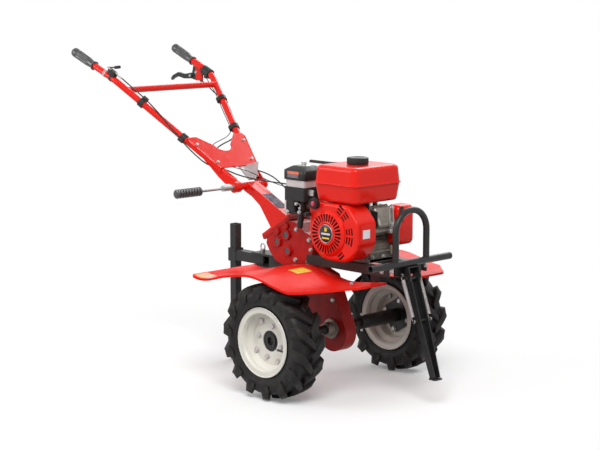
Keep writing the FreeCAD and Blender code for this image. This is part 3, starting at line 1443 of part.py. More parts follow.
def make_hitch_bracket():
    half = drawbar_size / 2 + hitch_ear_gap
    back_x = -240.0
    low = drawbar_z - half - hitch_ear_wall
    high = drawbar_z + half + hitch_ear_wall
    block = box((hitch_pin_x - 24, -36, low), (back_x, 36, high))
    mouth = box((hitch_pin_x - 30, -40, drawbar_z - half), (hitch_mouth_x, 40, drawbar_z + half))
    body = block.cut(mouth)
    bore = cylinder((hitch_pin_x, 0, low - 1), (hitch_pin_x, 0, high + 1), hitch_pin_radius + 0.1)
    drive_case = make_drive_case()
    drive_case.translate(V(0, 0, -frame_rise))
    return body.cut(bore).cut(make_gearbox_case()).cut(drive_case).removeSplitter()


def make_hitch_pin():
    half = drawbar_size / 2 + hitch_ear_gap + hitch_ear_wall
    low = drawbar_z - half - 14
    high = drawbar_z + half + 10
    pin = cylinder((hitch_pin_x, 0, low), (hitch_pin_x, 0, high), hitch_pin_radius)
    head = cylinder((hitch_pin_x, 0, drawbar_z + half), (hitch_pin_x, 0, high), hitch_pin_radius + 4)
    ring = Part.makeTorus(11.0, 2.5, V(hitch_pin_x, 0, high + 9.0), V(0, 1, 0))
    return pin.fuse(head).fuse(ring)


def make_drawbar():
    """Square tube from the hitch pin to the clamp sleeve that holds the depth bar."""
    half = drawbar_size / 2
    outer = depth_bar_size / 2 + sleeve_clearance + sleeve_wall
    tube = box((depth_bar_x + outer, -half, drawbar_z - half), (hitch_pin_x + 20, half, drawbar_z + half))
    inner = box((depth_bar_x + outer + 4, -half + drawbar_wall, drawbar_z - half + drawbar_wall),
                (hitch_pin_x + 21, half - drawbar_wall, drawbar_z + half - drawbar_wall))
    bore = cylinder((hitch_pin_x, 0, drawbar_z - half - 1), (hitch_pin_x, 0, drawbar_z + half + 1),
                    hitch_pin_radius + hitch_pin_clearance)
    tube = tube.cut(inner).cut(bore)
    sleeve = box((depth_bar_x - outer, -outer, drawbar_z - sleeve_height / 2),
                 (depth_bar_x + outer, outer, drawbar_z + sleeve_height / 2))
    hole = depth_bar_size / 2 + sleeve_clearance
    sleeve = sleeve.cut(box((depth_bar_x - hole, -hole, drawbar_z - sleeve_height),
                            (depth_bar_x + hole, hole, drawbar_z + sleeve_height)))
    return tube.fuse(sleeve).removeSplitter()


def make_depth_bar():
    half = depth_bar_size / 2
    inner = half - depth_bar_wall
    top = depth_bar_top + frame_rise
    bar = box((depth_bar_x - half, -half, 0), (depth_bar_x + half, half, top))
    return bar.cut(box((depth_bar_x - inner, -inner, -1), (depth_bar_x + inner, inner, top + 1)))


def build():
    nodes = {
        "axle": make_axle(),
        "left_hub": make_hub(),
        "right_hub": mirrored(make_hub()),
        "left_rim": make_rim(),
        "right_rim": mirrored(make_rim()),
        "left_tyre": make_tyre(),
        "right_tyre": mirrored(make_tyre()),
        "hub_pins": Part.makeCompound([hub_pin(-1, 0), hub_pin(1, 0)]),
        "valve_stems": pair(make_valve_stem()),
        "gearbox_case": make_gearbox_case(),
        "shaft_plugs": make_shaft_plugs(),
        "drive_case": make_drive_case(),
        "seal_covers": pair(make_seal_cover()),
        "column": make_column(),
        "handle_arms": Part.makeCompound([make_handle_arm(-1), make_handle_arm(1)]),
        "gusset_plate": make_gusset_plate(),
        "handle_tubes": make_handle_tubes(),
        "left_grip": make_grip(),
        "right_grip": mirrored(make_grip()),
        "clamp_handle": make_clamp_handle(),
        "clamp_grip": make_clamp_grip(),
        "lock_strap": make_lock_strap(),
        "throttle_lever": make_throttle_lever(),
        "clutch_lever": make_clutch_lever(),
        "switch_clamp": make_switch_clamp(),
        "cable_clips": make_cable_clips(),
        "throttle_cable": make_cable(throttle_route(), cable_radius, "throttle cable"),
        "clutch_cable": make_cable(clutch_route(), cable_radius, "clutch cable"),
        "switch_wire": make_cable(wire_route(), wire_radius, "switch wire"),
        "crankcase": make_crankcase(),
        "cylinder": make_cylinder(),
        "rocker_cover": make_rocker_cover(),
        "fan_cover": make_fan_cover(),
        "recoil_starter": make_recoil_starter(),
        "recoil_handle": make_recoil_handle(),
        "fuel_tank": make_fuel_tank(),
        "fuel_cap": make_fuel_cap(),
        "air_cleaner_cap": make_air_cleaner_cap(),
        "air_cleaner_band": make_air_cleaner_band(),
        "air_cleaner_body": make_air_cleaner_body(),
        "carburettor": make_carburettor(),
        "muffler": make_muffler(),
        "muffler_shield": make_muffler_shield(),
        "engine_switch": make_engine_switch(),
        "belt_cover": make_belt_cover(),
        "shift_lever": make_shift_lever(),
        "control_bracket": make_control_bracket(),
        "engine_rails": make_engine_rails(),
        "bumper": make_bumper(),
        "stand_bracket": make_stand_bracket(),
        "stand": make_stand(),
        "stand_springs": pair(make_stand_springs()),
        "left_fender": make_fender(),
        "right_fender": mirrored(make_fender()),
        "fender_brackets": make_fender_brackets(),
        "hitch_bracket": make_hitch_bracket(),
        "hitch_pin": make_hitch_pin(),
        "drawbar": make_drawbar(),
        "depth_bar": make_depth_bar(),
    }
    return nodes


# nodes that stand on the axle or on the ground, whatever the tyres' size
ground_nodes = ("axle", "left_hub", "right_hub", "left_rim", "right_rim", "left_tyre", "right_tyre", "hub_pins",
                "valve_stems", "drive_case", "seal_covers", "depth_bar")


def main():
    os.makedirs("parts", exist_ok=True)
    for name, shape in build().items():
        placed = shape.copy()
        rise = 0 if name in ground_nodes else frame_rise
        placed.translate(V(axle_x, 0, rise))
        bounds = placed.BoundBox
        print(name, len(placed.Solids), placed.isValid(), round(placed.Volume),
              [round(v, 1) for v in (bounds.XMin, bounds.XMax, bounds.YMin, bounds.YMax, bounds.ZMin, bounds.ZMax)])
        placed.exportStep("parts/%s.step" % name)


main()
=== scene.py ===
import bpy
import bmesh
import json
import math
from mathutils import Matrix, Vector
from mathutils.bvhtree import BVHTree


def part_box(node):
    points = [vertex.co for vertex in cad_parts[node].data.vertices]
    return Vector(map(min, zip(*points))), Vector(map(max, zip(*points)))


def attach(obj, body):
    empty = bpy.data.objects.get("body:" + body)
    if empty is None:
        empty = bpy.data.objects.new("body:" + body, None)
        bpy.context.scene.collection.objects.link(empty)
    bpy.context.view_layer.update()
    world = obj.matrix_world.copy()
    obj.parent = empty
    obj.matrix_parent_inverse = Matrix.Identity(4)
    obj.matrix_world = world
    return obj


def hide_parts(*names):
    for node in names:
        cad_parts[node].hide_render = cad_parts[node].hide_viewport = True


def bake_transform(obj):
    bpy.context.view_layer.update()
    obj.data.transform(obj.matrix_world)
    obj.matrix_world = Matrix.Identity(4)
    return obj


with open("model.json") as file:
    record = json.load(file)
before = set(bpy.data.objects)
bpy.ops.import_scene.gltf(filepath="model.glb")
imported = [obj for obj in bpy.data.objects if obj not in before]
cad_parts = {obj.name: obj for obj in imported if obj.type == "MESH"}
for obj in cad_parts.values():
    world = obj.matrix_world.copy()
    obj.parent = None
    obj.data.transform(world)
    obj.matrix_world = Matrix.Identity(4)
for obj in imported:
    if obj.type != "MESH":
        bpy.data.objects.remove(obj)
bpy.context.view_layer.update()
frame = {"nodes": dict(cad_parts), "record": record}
axleLow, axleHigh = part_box("axle")
axleX = 0.5 * (axleLow.x + axleHigh.x)  # pieces are placed from the wheel axle, as in the CAD source
axleZ = 0.205
nodes = frame["nodes"]
print("frame loaded:", len(nodes), "nodes")


# shader helpers

def setInputs(tree, node, values):
    # a socket is linked, anything else is set
    for key, value in values.items():
        if isinstance(value, bpy.types.NodeSocket):
            tree.links.new(value, node.inputs[key])
        else:
            node.inputs[key].default_value = value
    return node


def addNode(tree, kind, values=None, **settings):
    node = tree.nodes.new("ShaderNode" + kind)
    for key, value in settings.items():
        setattr(node, key, value)
    return setInputs(tree, node, values or {})


def mathNode(tree, operation, first, second, clamp=False):
    return addNode(tree, "Math", {0: first, 1: second}, operation=operation, use_clamp=clamp).outputs[0]


def times(tree, first, second, clamp=False):
    return mathNode(tree, "MULTIPLY", first, second, clamp)


def mixColour(tree, factor, first, second):
    return addNode(tree, "Mix", {0: factor, 6: first, 7: second}, data_type="RGBA").outputs[2]


def noiseNode(tree, vector, scale, detail=3.0, rough=0.55):
    values = {"Vector": vector, "Scale": scale, "Detail": detail, "Roughness": rough}
    return addNode(tree, "TexNoise", values).outputs["Fac"]


def rampNode(tree, factor, low, high):
    values = {"Value": factor, "From Min": low, "From Max": high}
    return addNode(tree, "MapRange", values, interpolation_type="SMOOTHSTEP").outputs["Result"]


def newGroup(name, inputs, outputs):
    # an input's kind follows from its value; every group also takes a Vector
    group = bpy.data.node_groups.new(name, "ShaderNodeTree")
    group.interface.new_socket(name="Vector", in_out="INPUT", socket_type="NodeSocketVector")
    for socketName, value in inputs.items():
        kind = "NodeSocketColor" if isinstance(value, tuple) else "NodeSocketFloat"
        socket = group.interface.new_socket(name=socketName, in_out="INPUT", socket_type=kind)
        socket.default_value = value
    for socketName in outputs:
        kind = "NodeSocketColor" if socketName == "Colour" else "NodeSocketFloat"
        group.interface.new_socket(name=socketName, in_out="OUTPUT", socket_type=kind)
    return group, group.nodes.new("NodeGroupInput").outputs, group.nodes.new("NodeGroupOutput")


# camera, floor and light

cameraSetup = {
    "fromAxle": (4.21495, -4.31399, 1.49495),
    "yaw": 135.603,
    "pitch": -8.656,
    "lens": 102.594,
    "sensor": 36.0,
    "clipEnd": 60,
}

studioSetup = {
    "floorSize": 18,
    "floorColour": (0.86, 0.86, 0.86, 1),
    "floorBounce": (0.42, 0.42, 0.42, 1),
    "floorLift": 0.16,
    "floorFade": (0.55, 1.5),  # distances from the machine at which the paper turns plain white
    "worldLight": 0.32,
    "aim": (0, 0, 0.45),
    "lamps": [
        {"name": "keyLamp", "at": (2.6, -2.2, 3.6), "size": (2.6, 2.0), "power": 150},
        {"name": "fillLamp", "at": (-2.2, -3.4, 2.2), "size": (2.4, 2.0), "power": 62},
        {"name": "backLamp", "at": (-1.2, 3.4, 3.0), "size": (3.0, 2.0), "power": 80},
    ],
}


def linkNew(name, data):
    thing = bpy.data.objects.new(name, data)
    bpy.context.scene.collection.objects.link(thing)
    return thing


def placeCamera():
    look = cameraSetup
    data = bpy.data.cameras.new("mainCamera")
    data.sensor_width = look["sensor"]
    data.lens = look["lens"]
    data.clip_end = look["clipEnd"]
    camera = linkNew("mainCamera", data)
    x, y, z = look["fromAxle"]
    camera.location = (x + axleX, y, z)
    yaw, pitch = math.radians(look["yaw"]), math.radians(look["pitch"])
    aim = Vector((math.cos(pitch) * math.cos(yaw), math.cos(pitch) * math.sin(yaw), math.sin(pitch)))
    camera.rotation_euler = aim.to_track_quat("-Z", "Y").to_euler()
    bpy.context.scene.camera = camera


def placeLamps():
    for lamp in studioSetup["lamps"]:
        data = bpy.data.lights.new(lamp["name"], "AREA")
        data.shape = "RECTANGLE"
        data.size, data.size_y = lamp["size"]
        data.energy = lamp["power"]
        light = linkNew(lamp["name"], data)
        light.location = lamp["at"]
        aim = Vector(studioSetup["aim"]) - Vector(lamp["at"])
        light.rotation_euler = aim.to_track_quat("-Z", "Y").to_euler()


def seenDirectly(tree):
    # 1 for camera, glossy and transmission rays, 0 for light that only bounces
    path = addNode(tree, "LightPath").outputs
    either = mathNode(tree, "MAXIMUM", path["Is Camera Ray"], path["Is Glossy Ray"])
    return mathNode(tree, "MAXIMUM", either, path["Is Transmission Ray"])


def makeWorld():
    world = bpy.data.worlds.new("studioWorld")
    bpy.context.scene.world = world
    world.use_nodes = True
    tree = world.node_tree
    tree.nodes.clear()
    lit = addNode(tree, "Background", {"Color": (1, 1, 1, 1), "Strength": studioSetup["worldLight"]})
    seen = addNode(tree, "Background", {"Color": (1, 1, 1, 1), "Strength": 1.0})
    mix = addNode(tree, "MixShader", {"Fac": seenDirectly(tree), 1: lit.outputs[0], 2: seen.outputs[0]})
    addNode(tree, "OutputWorld", {"Surface": mix.outputs[0]})


def makeFloor():
    # pale paper that keeps the machine's shadow and fades to plain white further out
    look = studioSetup
    bm = bmesh.new()
    bmesh.ops.create_grid(bm, x_segments=2, y_segments=2, size=look["floorSize"])
    data = bpy.data.meshes.new("studioFloor")
    bm.to_mesh(data)
    bm.free()
    floor = linkNew("studioFloor", data)
    material = bpy.data.materials.new("floorPaper")
    material.use_nodes = True
    tree = material.node_tree
    seen = seenDirectly(tree)
    paper = setInputs(tree, tree.nodes["Principled BSDF"], {
        "Roughness": 0.9, "Specular IOR Level": 0.1, "Emission Color": (1, 1, 1, 1),
        "Base Color": mixColour(tree, seen, look["floorBounce"], look["floorColour"]),
        "Emission Strength": times(tree, seen, look["floorLift"])})
    white = addNode(tree, "Emission", {"Strength": 1.0})
    place = addNode(tree, "TexCoord").outputs["Object"]
    reach = addNode(tree, "VectorMath", {0: place}, operation="LENGTH")
    fade = rampNode(tree, reach.outputs["Value"], *look["floorFade"])
    share = times(tree, seen, fade)
    mix = addNode(tree, "MixShader", {"Fac": share, 1: paper.outputs[0], 2: white.outputs[0]})
    setInputs(tree, tree.nodes["Material Output"], {"Surface": mix.outputs[0]})
    data.materials.append(material)


placeCamera()
placeLamps()
makeWorld()
makeFloor()
bpy.context.scene.view_settings.view_transform = "Standard"
print("camera, lamps and floor placed")


# shared shader effects

# pairs are where a noise, an edge or a slope starts to count and where it counts in full
effectSetup = {
    "driftFine": 7.3, "driftShares": (0.7, 0.3), "driftMask": (0.38, 0.64),
    "wearEdge": (0.02, 0.16), "wearScale": 85.0, "wearPatches": (0.46, 0.6),
    "dustUp": (0.15, 0.95), "dustSpots": (0.42, 0.7), "roughBand": (0.35, 0.65), "roughDust": 0.25,
}


def makeColourDrift():
    group, given, result = newGroup("colourDrift", {
        "Base": (0.5, 0.5, 0.5, 1), "Other": (0.4, 0.4, 0.4, 1), "Scale": 20.0, "Amount": 0.3,
    }, ["Colour", "Mask"])
    fineScale = times(group, given["Scale"], effectSetup["driftFine"])
    wideShare, fineShare = effectSetup["driftShares"]
    wide = times(group, noiseNode(group, given["Vector"], given["Scale"], 4.0), wideShare)
    fine = times(group, noiseNode(group, given["Vector"], fineScale, 2.0), fineShare)
    mask = rampNode(group, mathNode(group, "ADD", wide, fine), *effectSetup["driftMask"])
    colour = mixColour(group, times(group, mask, given["Amount"]), given["Base"], given["Other"])
    setInputs(group, result, {"Colour": colour, "Mask": mask})
    return group


# edge colour: worn paint on most finishes, and on the tyre a painted highlight along the lug edges
def makeEdgeWearAndHighlight():
    group, given, result = newGroup("edgeWearAndHighlight", {
        "Colour": (0.5, 0.5, 0.5, 1), "BareAndHighlight": (0.6, 0.6, 0.6, 1), "Width": 0.0012, "Amount": 0.3,
    }, ["Colour", "Mask"])
    bevel = addNode(group, "Bevel", {"Radius": given["Width"]}, samples=4)
    flat = addNode(group, "NewGeometry")
    normals = {0: bevel.outputs["Normal"], 1: flat.outputs["Normal"]}
    dot = addNode(group, "VectorMath", normals, operation="DOT_PRODUCT")
    edge = rampNode(group, mathNode(group, "SUBTRACT", 1.0, dot.outputs["Value"]), *effectSetup["wearEdge"])
    noise = noiseNode(group, given["Vector"], effectSetup["wearScale"])
    patchy = rampNode(group, noise, *effectSetup["wearPatches"])
    mask = times(group, times(group, edge, patchy), given["Amount"], True)
    colour = mixColour(group, mask, given["Colour"], given["BareAndHighlight"])
    setInputs(group, result, {"Colour": colour, "Mask": mask})
    return group


def makeSettledDust():
    group, given, result = newGroup("settledDust", {
        "Colour": (0.5, 0.5, 0.5, 1), "Dust": (0.55, 0.5, 0.44, 1), "Scale": 30.0, "Amount": 0.1,
    }, ["Colour", "Mask"])
    split = addNode(group, "SeparateXYZ", {0: addNode(group, "NewGeometry").outputs["Normal"]})
    up = rampNode(group, split.outputs["Z"], *effectSetup["dustUp"])
    noise = noiseNode(group, given["Vector"], given["Scale"], 5.0, 0.65)
    spots = rampNode(group, noise, *effectSetup["dustSpots"])
    mask = times(group, times(group, up, spots), given["Amount"], True)
    colour = mixColour(group, mask, given["Colour"], given["Dust"])
    setInputs(group, result, {"Colour": colour, "Mask": mask})
    return group


def makeRoughDrift():
    group, given, result = newGroup("roughDrift", {"Low": 0.3, "High": 0.4, "Scale": 40.0, "Mask": 0.0}, ["Value"])
    noise = rampNode(group, noiseNode(group, given["Vector"], given["Scale"]), *effectSetup["roughBand"])
    span = mathNode(group, "SUBTRACT", given["High"], given["Low"])
    value = mathNode(group, "ADD", times(group, noise, span), given["Low"])
    worn = times(group, given["Mask"], effectSetup["roughDust"])
    setInputs(group, result, {"Value": mathNode(group, "ADD", value, worn, True)})
    return group


def makeFineGrain():
    group, given, result = newGroup("fineGrain", {"Scale": 400.0, "Coarse": 60.0, "Share": 0.5}, ["Height"])
    fine = noiseNode(group, given["Vector"], given["Scale"], 2.0)
    coarse = noiseNode(group, given["Vector"], given["Coarse"], 2.0)
    part = times(group, coarse, given["Share"])
    setInputs(group, result, {"Height": mathNode(group, "ADD", fine, part)})
    return group


effects = {
    "drift": makeColourDrift(),
    "wearAndHighlight": makeEdgeWearAndHighlight(),
    "dust": makeSettledDust(),
    "rough": makeRoughDrift(),
    "grain": makeFineGrain(),
}

# what a finish has where it gives no value of its own; slot names a material slot for a piece made in this finish,
# which addPiece looks up but does not give to the piece
plainFinish = {"coat": 0.0, "coatRough": 0.12, "spec": 0.3, "metal": 0.0, "wearAndHighlight": 0.2, "dust": 0.02,
               "edge": 0.0006, "grain": (900.0, 300.0, 1.0, 0.00004), "slot": "black_plastic"}

# the surface drifts between base and other by (scale, amount), with the bare colour at the edges: worn paint on most
# finishes, a painted highlight along the tyre's lug edges
# grain is (fine scale, coarse scale, coarse share, depth in metres)
finishes = {
    "redPaint": {"base": (0.8, 0.014, 0.006), "other": (0.74, 0.011, 0.005), "drift": (7.0, 0.4),
        "rough": (0.17, 0.23), "grain": (900.0, 120.0, 0.6, 0.000003), "bareAndHighlight": (0.86, 0.3, 0.26),
        "wearAndHighlight": 0.12, "dust": 0.012, "edge": 0.0012, "spec": 0.22, "slot": "red_paint"},
    "redCasting": {"base": (0.46, 0.009, 0.006), "other": (0.32, 0.005, 0.004), "drift": (26.0, 0.7),
        "rough": (0.3, 0.42), "grain": (620.0, 190.0, 1.5, 0.00022), "bareAndHighlight": (0.66, 0.1, 0.08),
        "edge": 0.0018, "spec": 0.22},
    "creamPaint": {"base": (0.77, 0.74, 0.67), "other": (0.69, 0.66, 0.58), "drift": (14.0, 0.5),
        "rough": (0.28, 0.4), "grain": (800.0, 120.0, 1.0, 0.00005), "bareAndHighlight": (0.46, 0.42, 0.34),
        "wearAndHighlight": 0.25, "dust": 0.04, "edge": 0.0012, "coat": 0.2},
    "blackPaint": {"base": (0.014, 0.013, 0.013), "other": (0.024, 0.023, 0.023), "drift": (30.0, 0.6),
        "rough": (0.3, 0.44), "grain": (900.0, 200.0, 1.2, 0.00007), "bareAndHighlight": (0.14, 0.14, 0.15),
        "wearAndHighlight": 0.25, "dust": 0.03, "edge": 0.0011, "coat": 0.05},
    # painted highlight: the tyre's light edge colour, laid on at a high edge amount, lightens the lug edges where
    # light from the top and right falls
    "tyreRubber": {"base": (0.0062, 0.005, 0.0047), "other": (0.013, 0.0108, 0.0102), "drift": (24.0, 0.8),
        "rough": (0.46, 0.62), "grain": (1300.0, 260.0, 1.0, 0.0002), "bareAndHighlight": (0.11, 0.105, 0.1),
        "wearAndHighlight": 0.7, "edge": 0.0022, "spec": 0.26, "slot": "tyre"},
    "moulded": {"base": (0.013, 0.012, 0.012), "other": (0.023, 0.022, 0.022), "drift": (40.0, 0.6),
        "rough": (0.36, 0.5), "grain": (2400.0, 700.0, 0.8, 0.00009), "bareAndHighlight": (0.09, 0.09, 0.09),
        "wearAndHighlight": 0.3, "edge": 0.001},
    "gripRubber": {"base": (0.018, 0.017, 0.018), "other": (0.034, 0.033, 0.034), "drift": (46.0, 0.7),
        "rough": (0.2, 0.3), "grain": (1800.0, 420.0, 1.0, 0.00004), "bareAndHighlight": (0.08, 0.08, 0.08),
        "wearAndHighlight": 0.4, "dust": 0.03, "edge": 0.0012, "spec": 0.9, "slot": "black_rubber"},
    "sheath": {"base": (0.012, 0.012, 0.013), "other": (0.024, 0.024, 0.025), "drift": (60.0, 0.5),
        "rough": (0.34, 0.46), "grain": (2600.0, 900.0, 0.6, 0.00004), "bareAndHighlight": (0.06, 0.06, 0.06),
        "edge": 0.0008, "slot": "cable_sheath"},
    "zinc": {"base": (0.45, 0.44, 0.43), "other": (0.33, 0.33, 0.32), "drift": (90.0, 0.7),
        "rough": (0.36, 0.5), "grain": (1500.0, 500.0, 1.0, 0.00006), "bareAndHighlight": (0.72, 0.71, 0.68),
        "wearAndHighlight": 0.4, "dust": 0.03, "edge": 0.0009, "spec": 0.5, "metal": 1.0, "slot": "zinc"},
    "castAluminium": {"base": (0.3, 0.275, 0.24), "other": (0.19, 0.17, 0.145), "drift": (38.0, 0.8),
        "rough": (0.42, 0.6), "grain": (900.0, 330.0, 1.3, 0.00026), "bareAndHighlight": (0.6, 0.58, 0.54),
        "wearAndHighlight": 0.5, "dust": 0.03, "edge": 0.0014, "spec": 0.4, "metal": 0.7, "slot": "aluminium"},
    "brushedBand": {"base": (0.6, 0.55, 0.55), "other": (0.5, 0.46, 0.46), "drift": (22.0, 0.6),
        "rough": (0.34, 0.48), "grain": (700.0, 240.0, 1.0, 0.00008), "bareAndHighlight": (0.62, 0.6, 0.58),
        "wearAndHighlight": 0.3, "edge": 0.0012, "metal": 0.4, "slot": "zinc"},
    "exhaustSteel": {"base": (0.028, 0.026, 0.024), "other": (0.06, 0.05, 0.042), "drift": (26.0, 0.7),
        "rough": (0.45, 0.62), "grain": (1000.0, 240.0, 1.2, 0.00012), "bareAndHighlight": (0.2, 0.18, 0.16),
        "wearAndHighlight": 0.4, "dust": 0.03, "edge": 0.0012, "metal": 0.5, "slot": "black_steel"},
    "amberReflector": {"base": (0.9, 0.5, 0.2), "other": (0.84, 0.4, 0.12), "drift": (60.0, 0.6),
        "rough": (0.16, 0.26), "grain": (700.0, 300.0, 1.0, 0.0001), "bareAndHighlight": (0.95, 0.7, 0.45),
        "wearAndHighlight": 0.3, "edge": 0.0008, "coat": 0.3},
    "yellowPatch": {"base": (0.92, 0.66, 0.06), "other": (0.86, 0.56, 0.03), "drift": (60.0, 0.5),
        "rough": (0.26, 0.36), "bareAndHighlight": (0.92, 0.78, 0.4), "coat": 0.1},
    "paleLabel": {"base": (0.7, 0.68, 0.7), "other": (0.6, 0.59, 0.62), "drift": (80.0, 0.5),
        "rough": (0.3, 0.42), "bareAndHighlight": (0.5, 0.5, 0.5), "coat": 0.1},
    "darkLabel": {"base": (0.014, 0.011, 0.012), "other": (0.032, 0.026, 0.028), "drift": (70.0, 0.6),
        "rough": (0.22, 0.34), "bareAndHighlight": (0.3, 0.3, 0.3), "coat": 0.1},
    "greyLabel": {"base": (0.2, 0.19, 0.23), "other": (0.1, 0.095, 0.12), "drift": (70.0, 0.6),
        "rough": (0.26, 0.36), "bareAndHighlight": (0.5, 0.5, 0.5), "coat": 0.1},
    "whiteLabel": {"base": (0.84, 0.84, 0.86), "other": (0.74, 0.75, 0.8), "drift": (80.0, 0.4),
        "rough": (0.28, 0.38), "bareAndHighlight": (0.6, 0.6, 0.6), "dust": 0.0, "coat": 0.1},
    "roseSwitch": {"base": (0.52, 0.045, 0.095), "other": (0.42, 0.03, 0.07), "drift": (90.0, 0.5),
        "rough": (0.26, 0.36), "grain": (1200.0, 400.0, 1.0, 0.00004), "bareAndHighlight": (0.7, 0.3, 0.35),
        "dust": 0.0, "coat": 0.1, "slot": "red_paint"},
    # painted shade: a dark matt colour for the shade inside the cooling slots
    "paintedSlotShade": {"base": (0.02, 0.004, 0.003), "other": (0.045, 0.012, 0.008), "drift": (60.0, 0.7),
        "rough": (0.7, 0.85), "grain": (900.0, 300.0, 1.0, 0.0001), "bareAndHighlight": (0.06, 0.03, 0.02),
        "wearAndHighlight": 0.1, "dust": 0.0, "spec": 0.1},
    "fenderPaint": {"base": (0.86, 0.016, 0.008), "other": (0.8, 0.012, 0.007), "drift": (6.0, 0.4),
        "rough": (0.32, 0.38), "grain": (900.0, 90.0, 0.6, 0.000003), "bareAndHighlight": (0.86, 0.3, 0.26),
        "wearAndHighlight": 0.12, "dust": 0.0, "edge": 0.0012, "spec": 0.07},
    "slateLabel": {"base": (0.055, 0.05, 0.075), "other": (0.16, 0.15, 0.19), "drift": (55.0, 0.8),
        "rough": (0.45, 0.6), "bareAndHighlight": (0.4, 0.4, 0.4), "dust": 0.0, "spec": 0.15},
    "orangeLabel": {"base": (0.76, 0.2, 0.1), "other": (0.66, 0.15, 0.07), "drift": (70.0, 0.5),
        "rough": (0.26, 0.36), "bareAndHighlight": (0.8, 0.4, 0.3), "coat": 0.1},
}


def placeEffect(tree, effect, vector, values):
    node = addNode(tree, "Group", {"Vector": vector, **values}, node_tree=effects[effect])
    return node.outputs


def makeFinish(name, look):
    material = bpy.data.materials.new(name)
    material.use_nodes = True
    tree = material.node_tree
    place = addNode(tree, "TexCoord").outputs["Object"]
    base, other, bareAndHighlight = ((*look[key], 1) for key in ("base", "other", "bareAndHighlight"))
    drift = placeEffect(tree, "drift", place, {
        "Base": base, "Other": other, "Scale": look["drift"][0], "Amount": look["drift"][1]})
    # on the tyre this edge colour is a painted highlight, on other finishes worn paint
    wearAndHighlight = placeEffect(tree, "wearAndHighlight", place, {
        "Colour": drift["Colour"], "BareAndHighlight": bareAndHighlight, "Width": look["edge"], "Amount": look["wearAndHighlight"]})
    dust = placeEffect(tree, "dust", place, {"Colour": wearAndHighlight["Colour"], "Amount": look["dust"]})
    low, high = look["rough"]
    rough = placeEffect(tree, "rough", place, {"Low": low, "High": high, "Mask": dust["Mask"]})
    fine, coarse, share, depth = look["grain"]
    grain = placeEffect(tree, "grain", place, {"Scale": fine, "Coarse": coarse, "Share": share})
    soft = addNode(tree, "Bevel", {"Radius": look["edge"]}, samples=4)
    bump = addNode(tree, "Bump", {
        "Distance": depth, "Strength": 1.0, "Height": grain["Height"], "Normal": soft.outputs["Normal"]})
    setInputs(tree, tree.nodes["Principled BSDF"], {
        "Base Color": dust["Colour"], "Roughness": rough["Value"], "Normal": bump.outputs["Normal"],
        "Metallic": look["metal"], "Specular IOR Level": look["spec"], "Coat Weight": look["coat"],
        "Coat Roughness": look["coatRough"]})
    return material


finishes = {name: {**plainFinish, **look} for name, look in finishes.items()}
materials = {name: makeFinish(name, look) for name, look in finishes.items()}

# finish of the CAD nodes in each material slot, and of the few nodes that differ
slotFinishes = {
    "tyre": "tyreRubber", "rim_cream": "creamPaint", "black_paint": "blackPaint", "red_paint": "redPaint",
    "dark_red_paint": "redCasting", "zinc": "zinc", "aluminium": "castAluminium", "black_rubber": "gripRubber",
    "black_plastic": "moulded", "black_steel": "exhaustSteel", "cast_red": "redCasting", "cable_sheath": "sheath",
}
nodeFinishes = {
    "air_cleaner_band": "brushedBand", "lock_strap": "brushedBand",
    "left_fender": "fenderPaint", "right_fender": "fenderPaint",
}


def dressNodes():
    slots = {entry["node"]: entry["material_slot"] for entry in frame["record"]["subparts"]}
    for name, node in nodes.items():
        finish = materials[nodeFinishes.get(name, slotFinishes[slots[name]])]
        if not node.data.materials:
            node.data.materials.append(finish)
        for slot in node.material_slots:
            slot.link = "OBJECT"
            slot.material = finish


dressNodes()
print("finishes made:", len(materials))


# mesh helpers

# directions across and up a face that looks out to the machine's right, its front or its top
facing = {"right": ((1, 0, 0), (0, 0, 1)), "front": ((0, 1, 0), (0, 0, 1)), "top": ((1, 0, 0), (0, 1, 0))}


def at(x, y, z):
    # a point measured from the axle, in the part's frame
    return Vector((x + axleX, y, z))


def addPiece(name, data, finish, body="machine", slot=None, smooth=True):
    if smooth:
        data.shade_smooth()
    data.materials.clear()
    data.materials.append(materials[finish])
    piece = linkNew(name, data)
    if body:
        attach(piece, body)
    slot = slot or finishes[finish]["slot"]
    return piece


def meshFrom(name, verts, faces):
    data = bpy.data.meshes.new(name)
    data.from_pydata([tuple(v) for v in verts], [], faces)
    data.validate()
    data.update()
    return data


def bevelled(piece, width, segments=2, angle=35):
    bevel = piece.modifiers.new("softEdges", "BEVEL")
    bevel.width = width
    bevel.segments = segments
    bevel.limit_method = "ANGLE"
    bevel.angle_limit = math.radians(angle)
    return piece


def sharpened(piece, angle=40):
    # smooth shading that breaks at sharp edges
    bm = bmesh.new()
    bm.from_mesh(piece.data)
    for edge in bm.edges:
        if len(edge.link_faces) == 2 and edge.calc_face_angle(0) > math.radians(angle):
            edge.smooth = False
    bm.to_mesh(piece.data)
    bm.free()
    return piece


def shapePiece(name, verts, faces, finish, body="machine", slot=None, sharp=40):
    return sharpened(addPiece(name, meshFrom(name, verts, faces), finish, body, slot), sharp)


def frameFor(direction):
    # rotation whose Z runs along a direction
    return Vector(direction).normalized().to_track_quat("Z", "Y").to_matrix().to_4x4()


def addLathe(verts, faces, profile, centre, direction, steps=32, phase=0.0, flutes=0, depth=0.0):
    # turns (radius, height) points about a direction; a third number is the point's share of the flutes
    matrix = Matrix.Translation(centre) @ frameFor(direction)
    first, count = len(verts), len(profile)
    for step in range(steps):
        angle = phase + 2 * math.pi * step / steps
        wave = depth * (0.5 + 0.5 * math.cos(flutes * angle))
        for radius, height, *share in profile:
            r = radius - wave * share[0] if share else radius
            verts.append(matrix @ Vector((r * math.cos(angle), r * math.sin(angle), height)))
    for step in range(steps):
        following = (step + 1) % steps
        for index in range(count - 1):
            a, b = first + step * count + index, first + following * count + index
            faces.append((a, b, b + 1, a + 1))


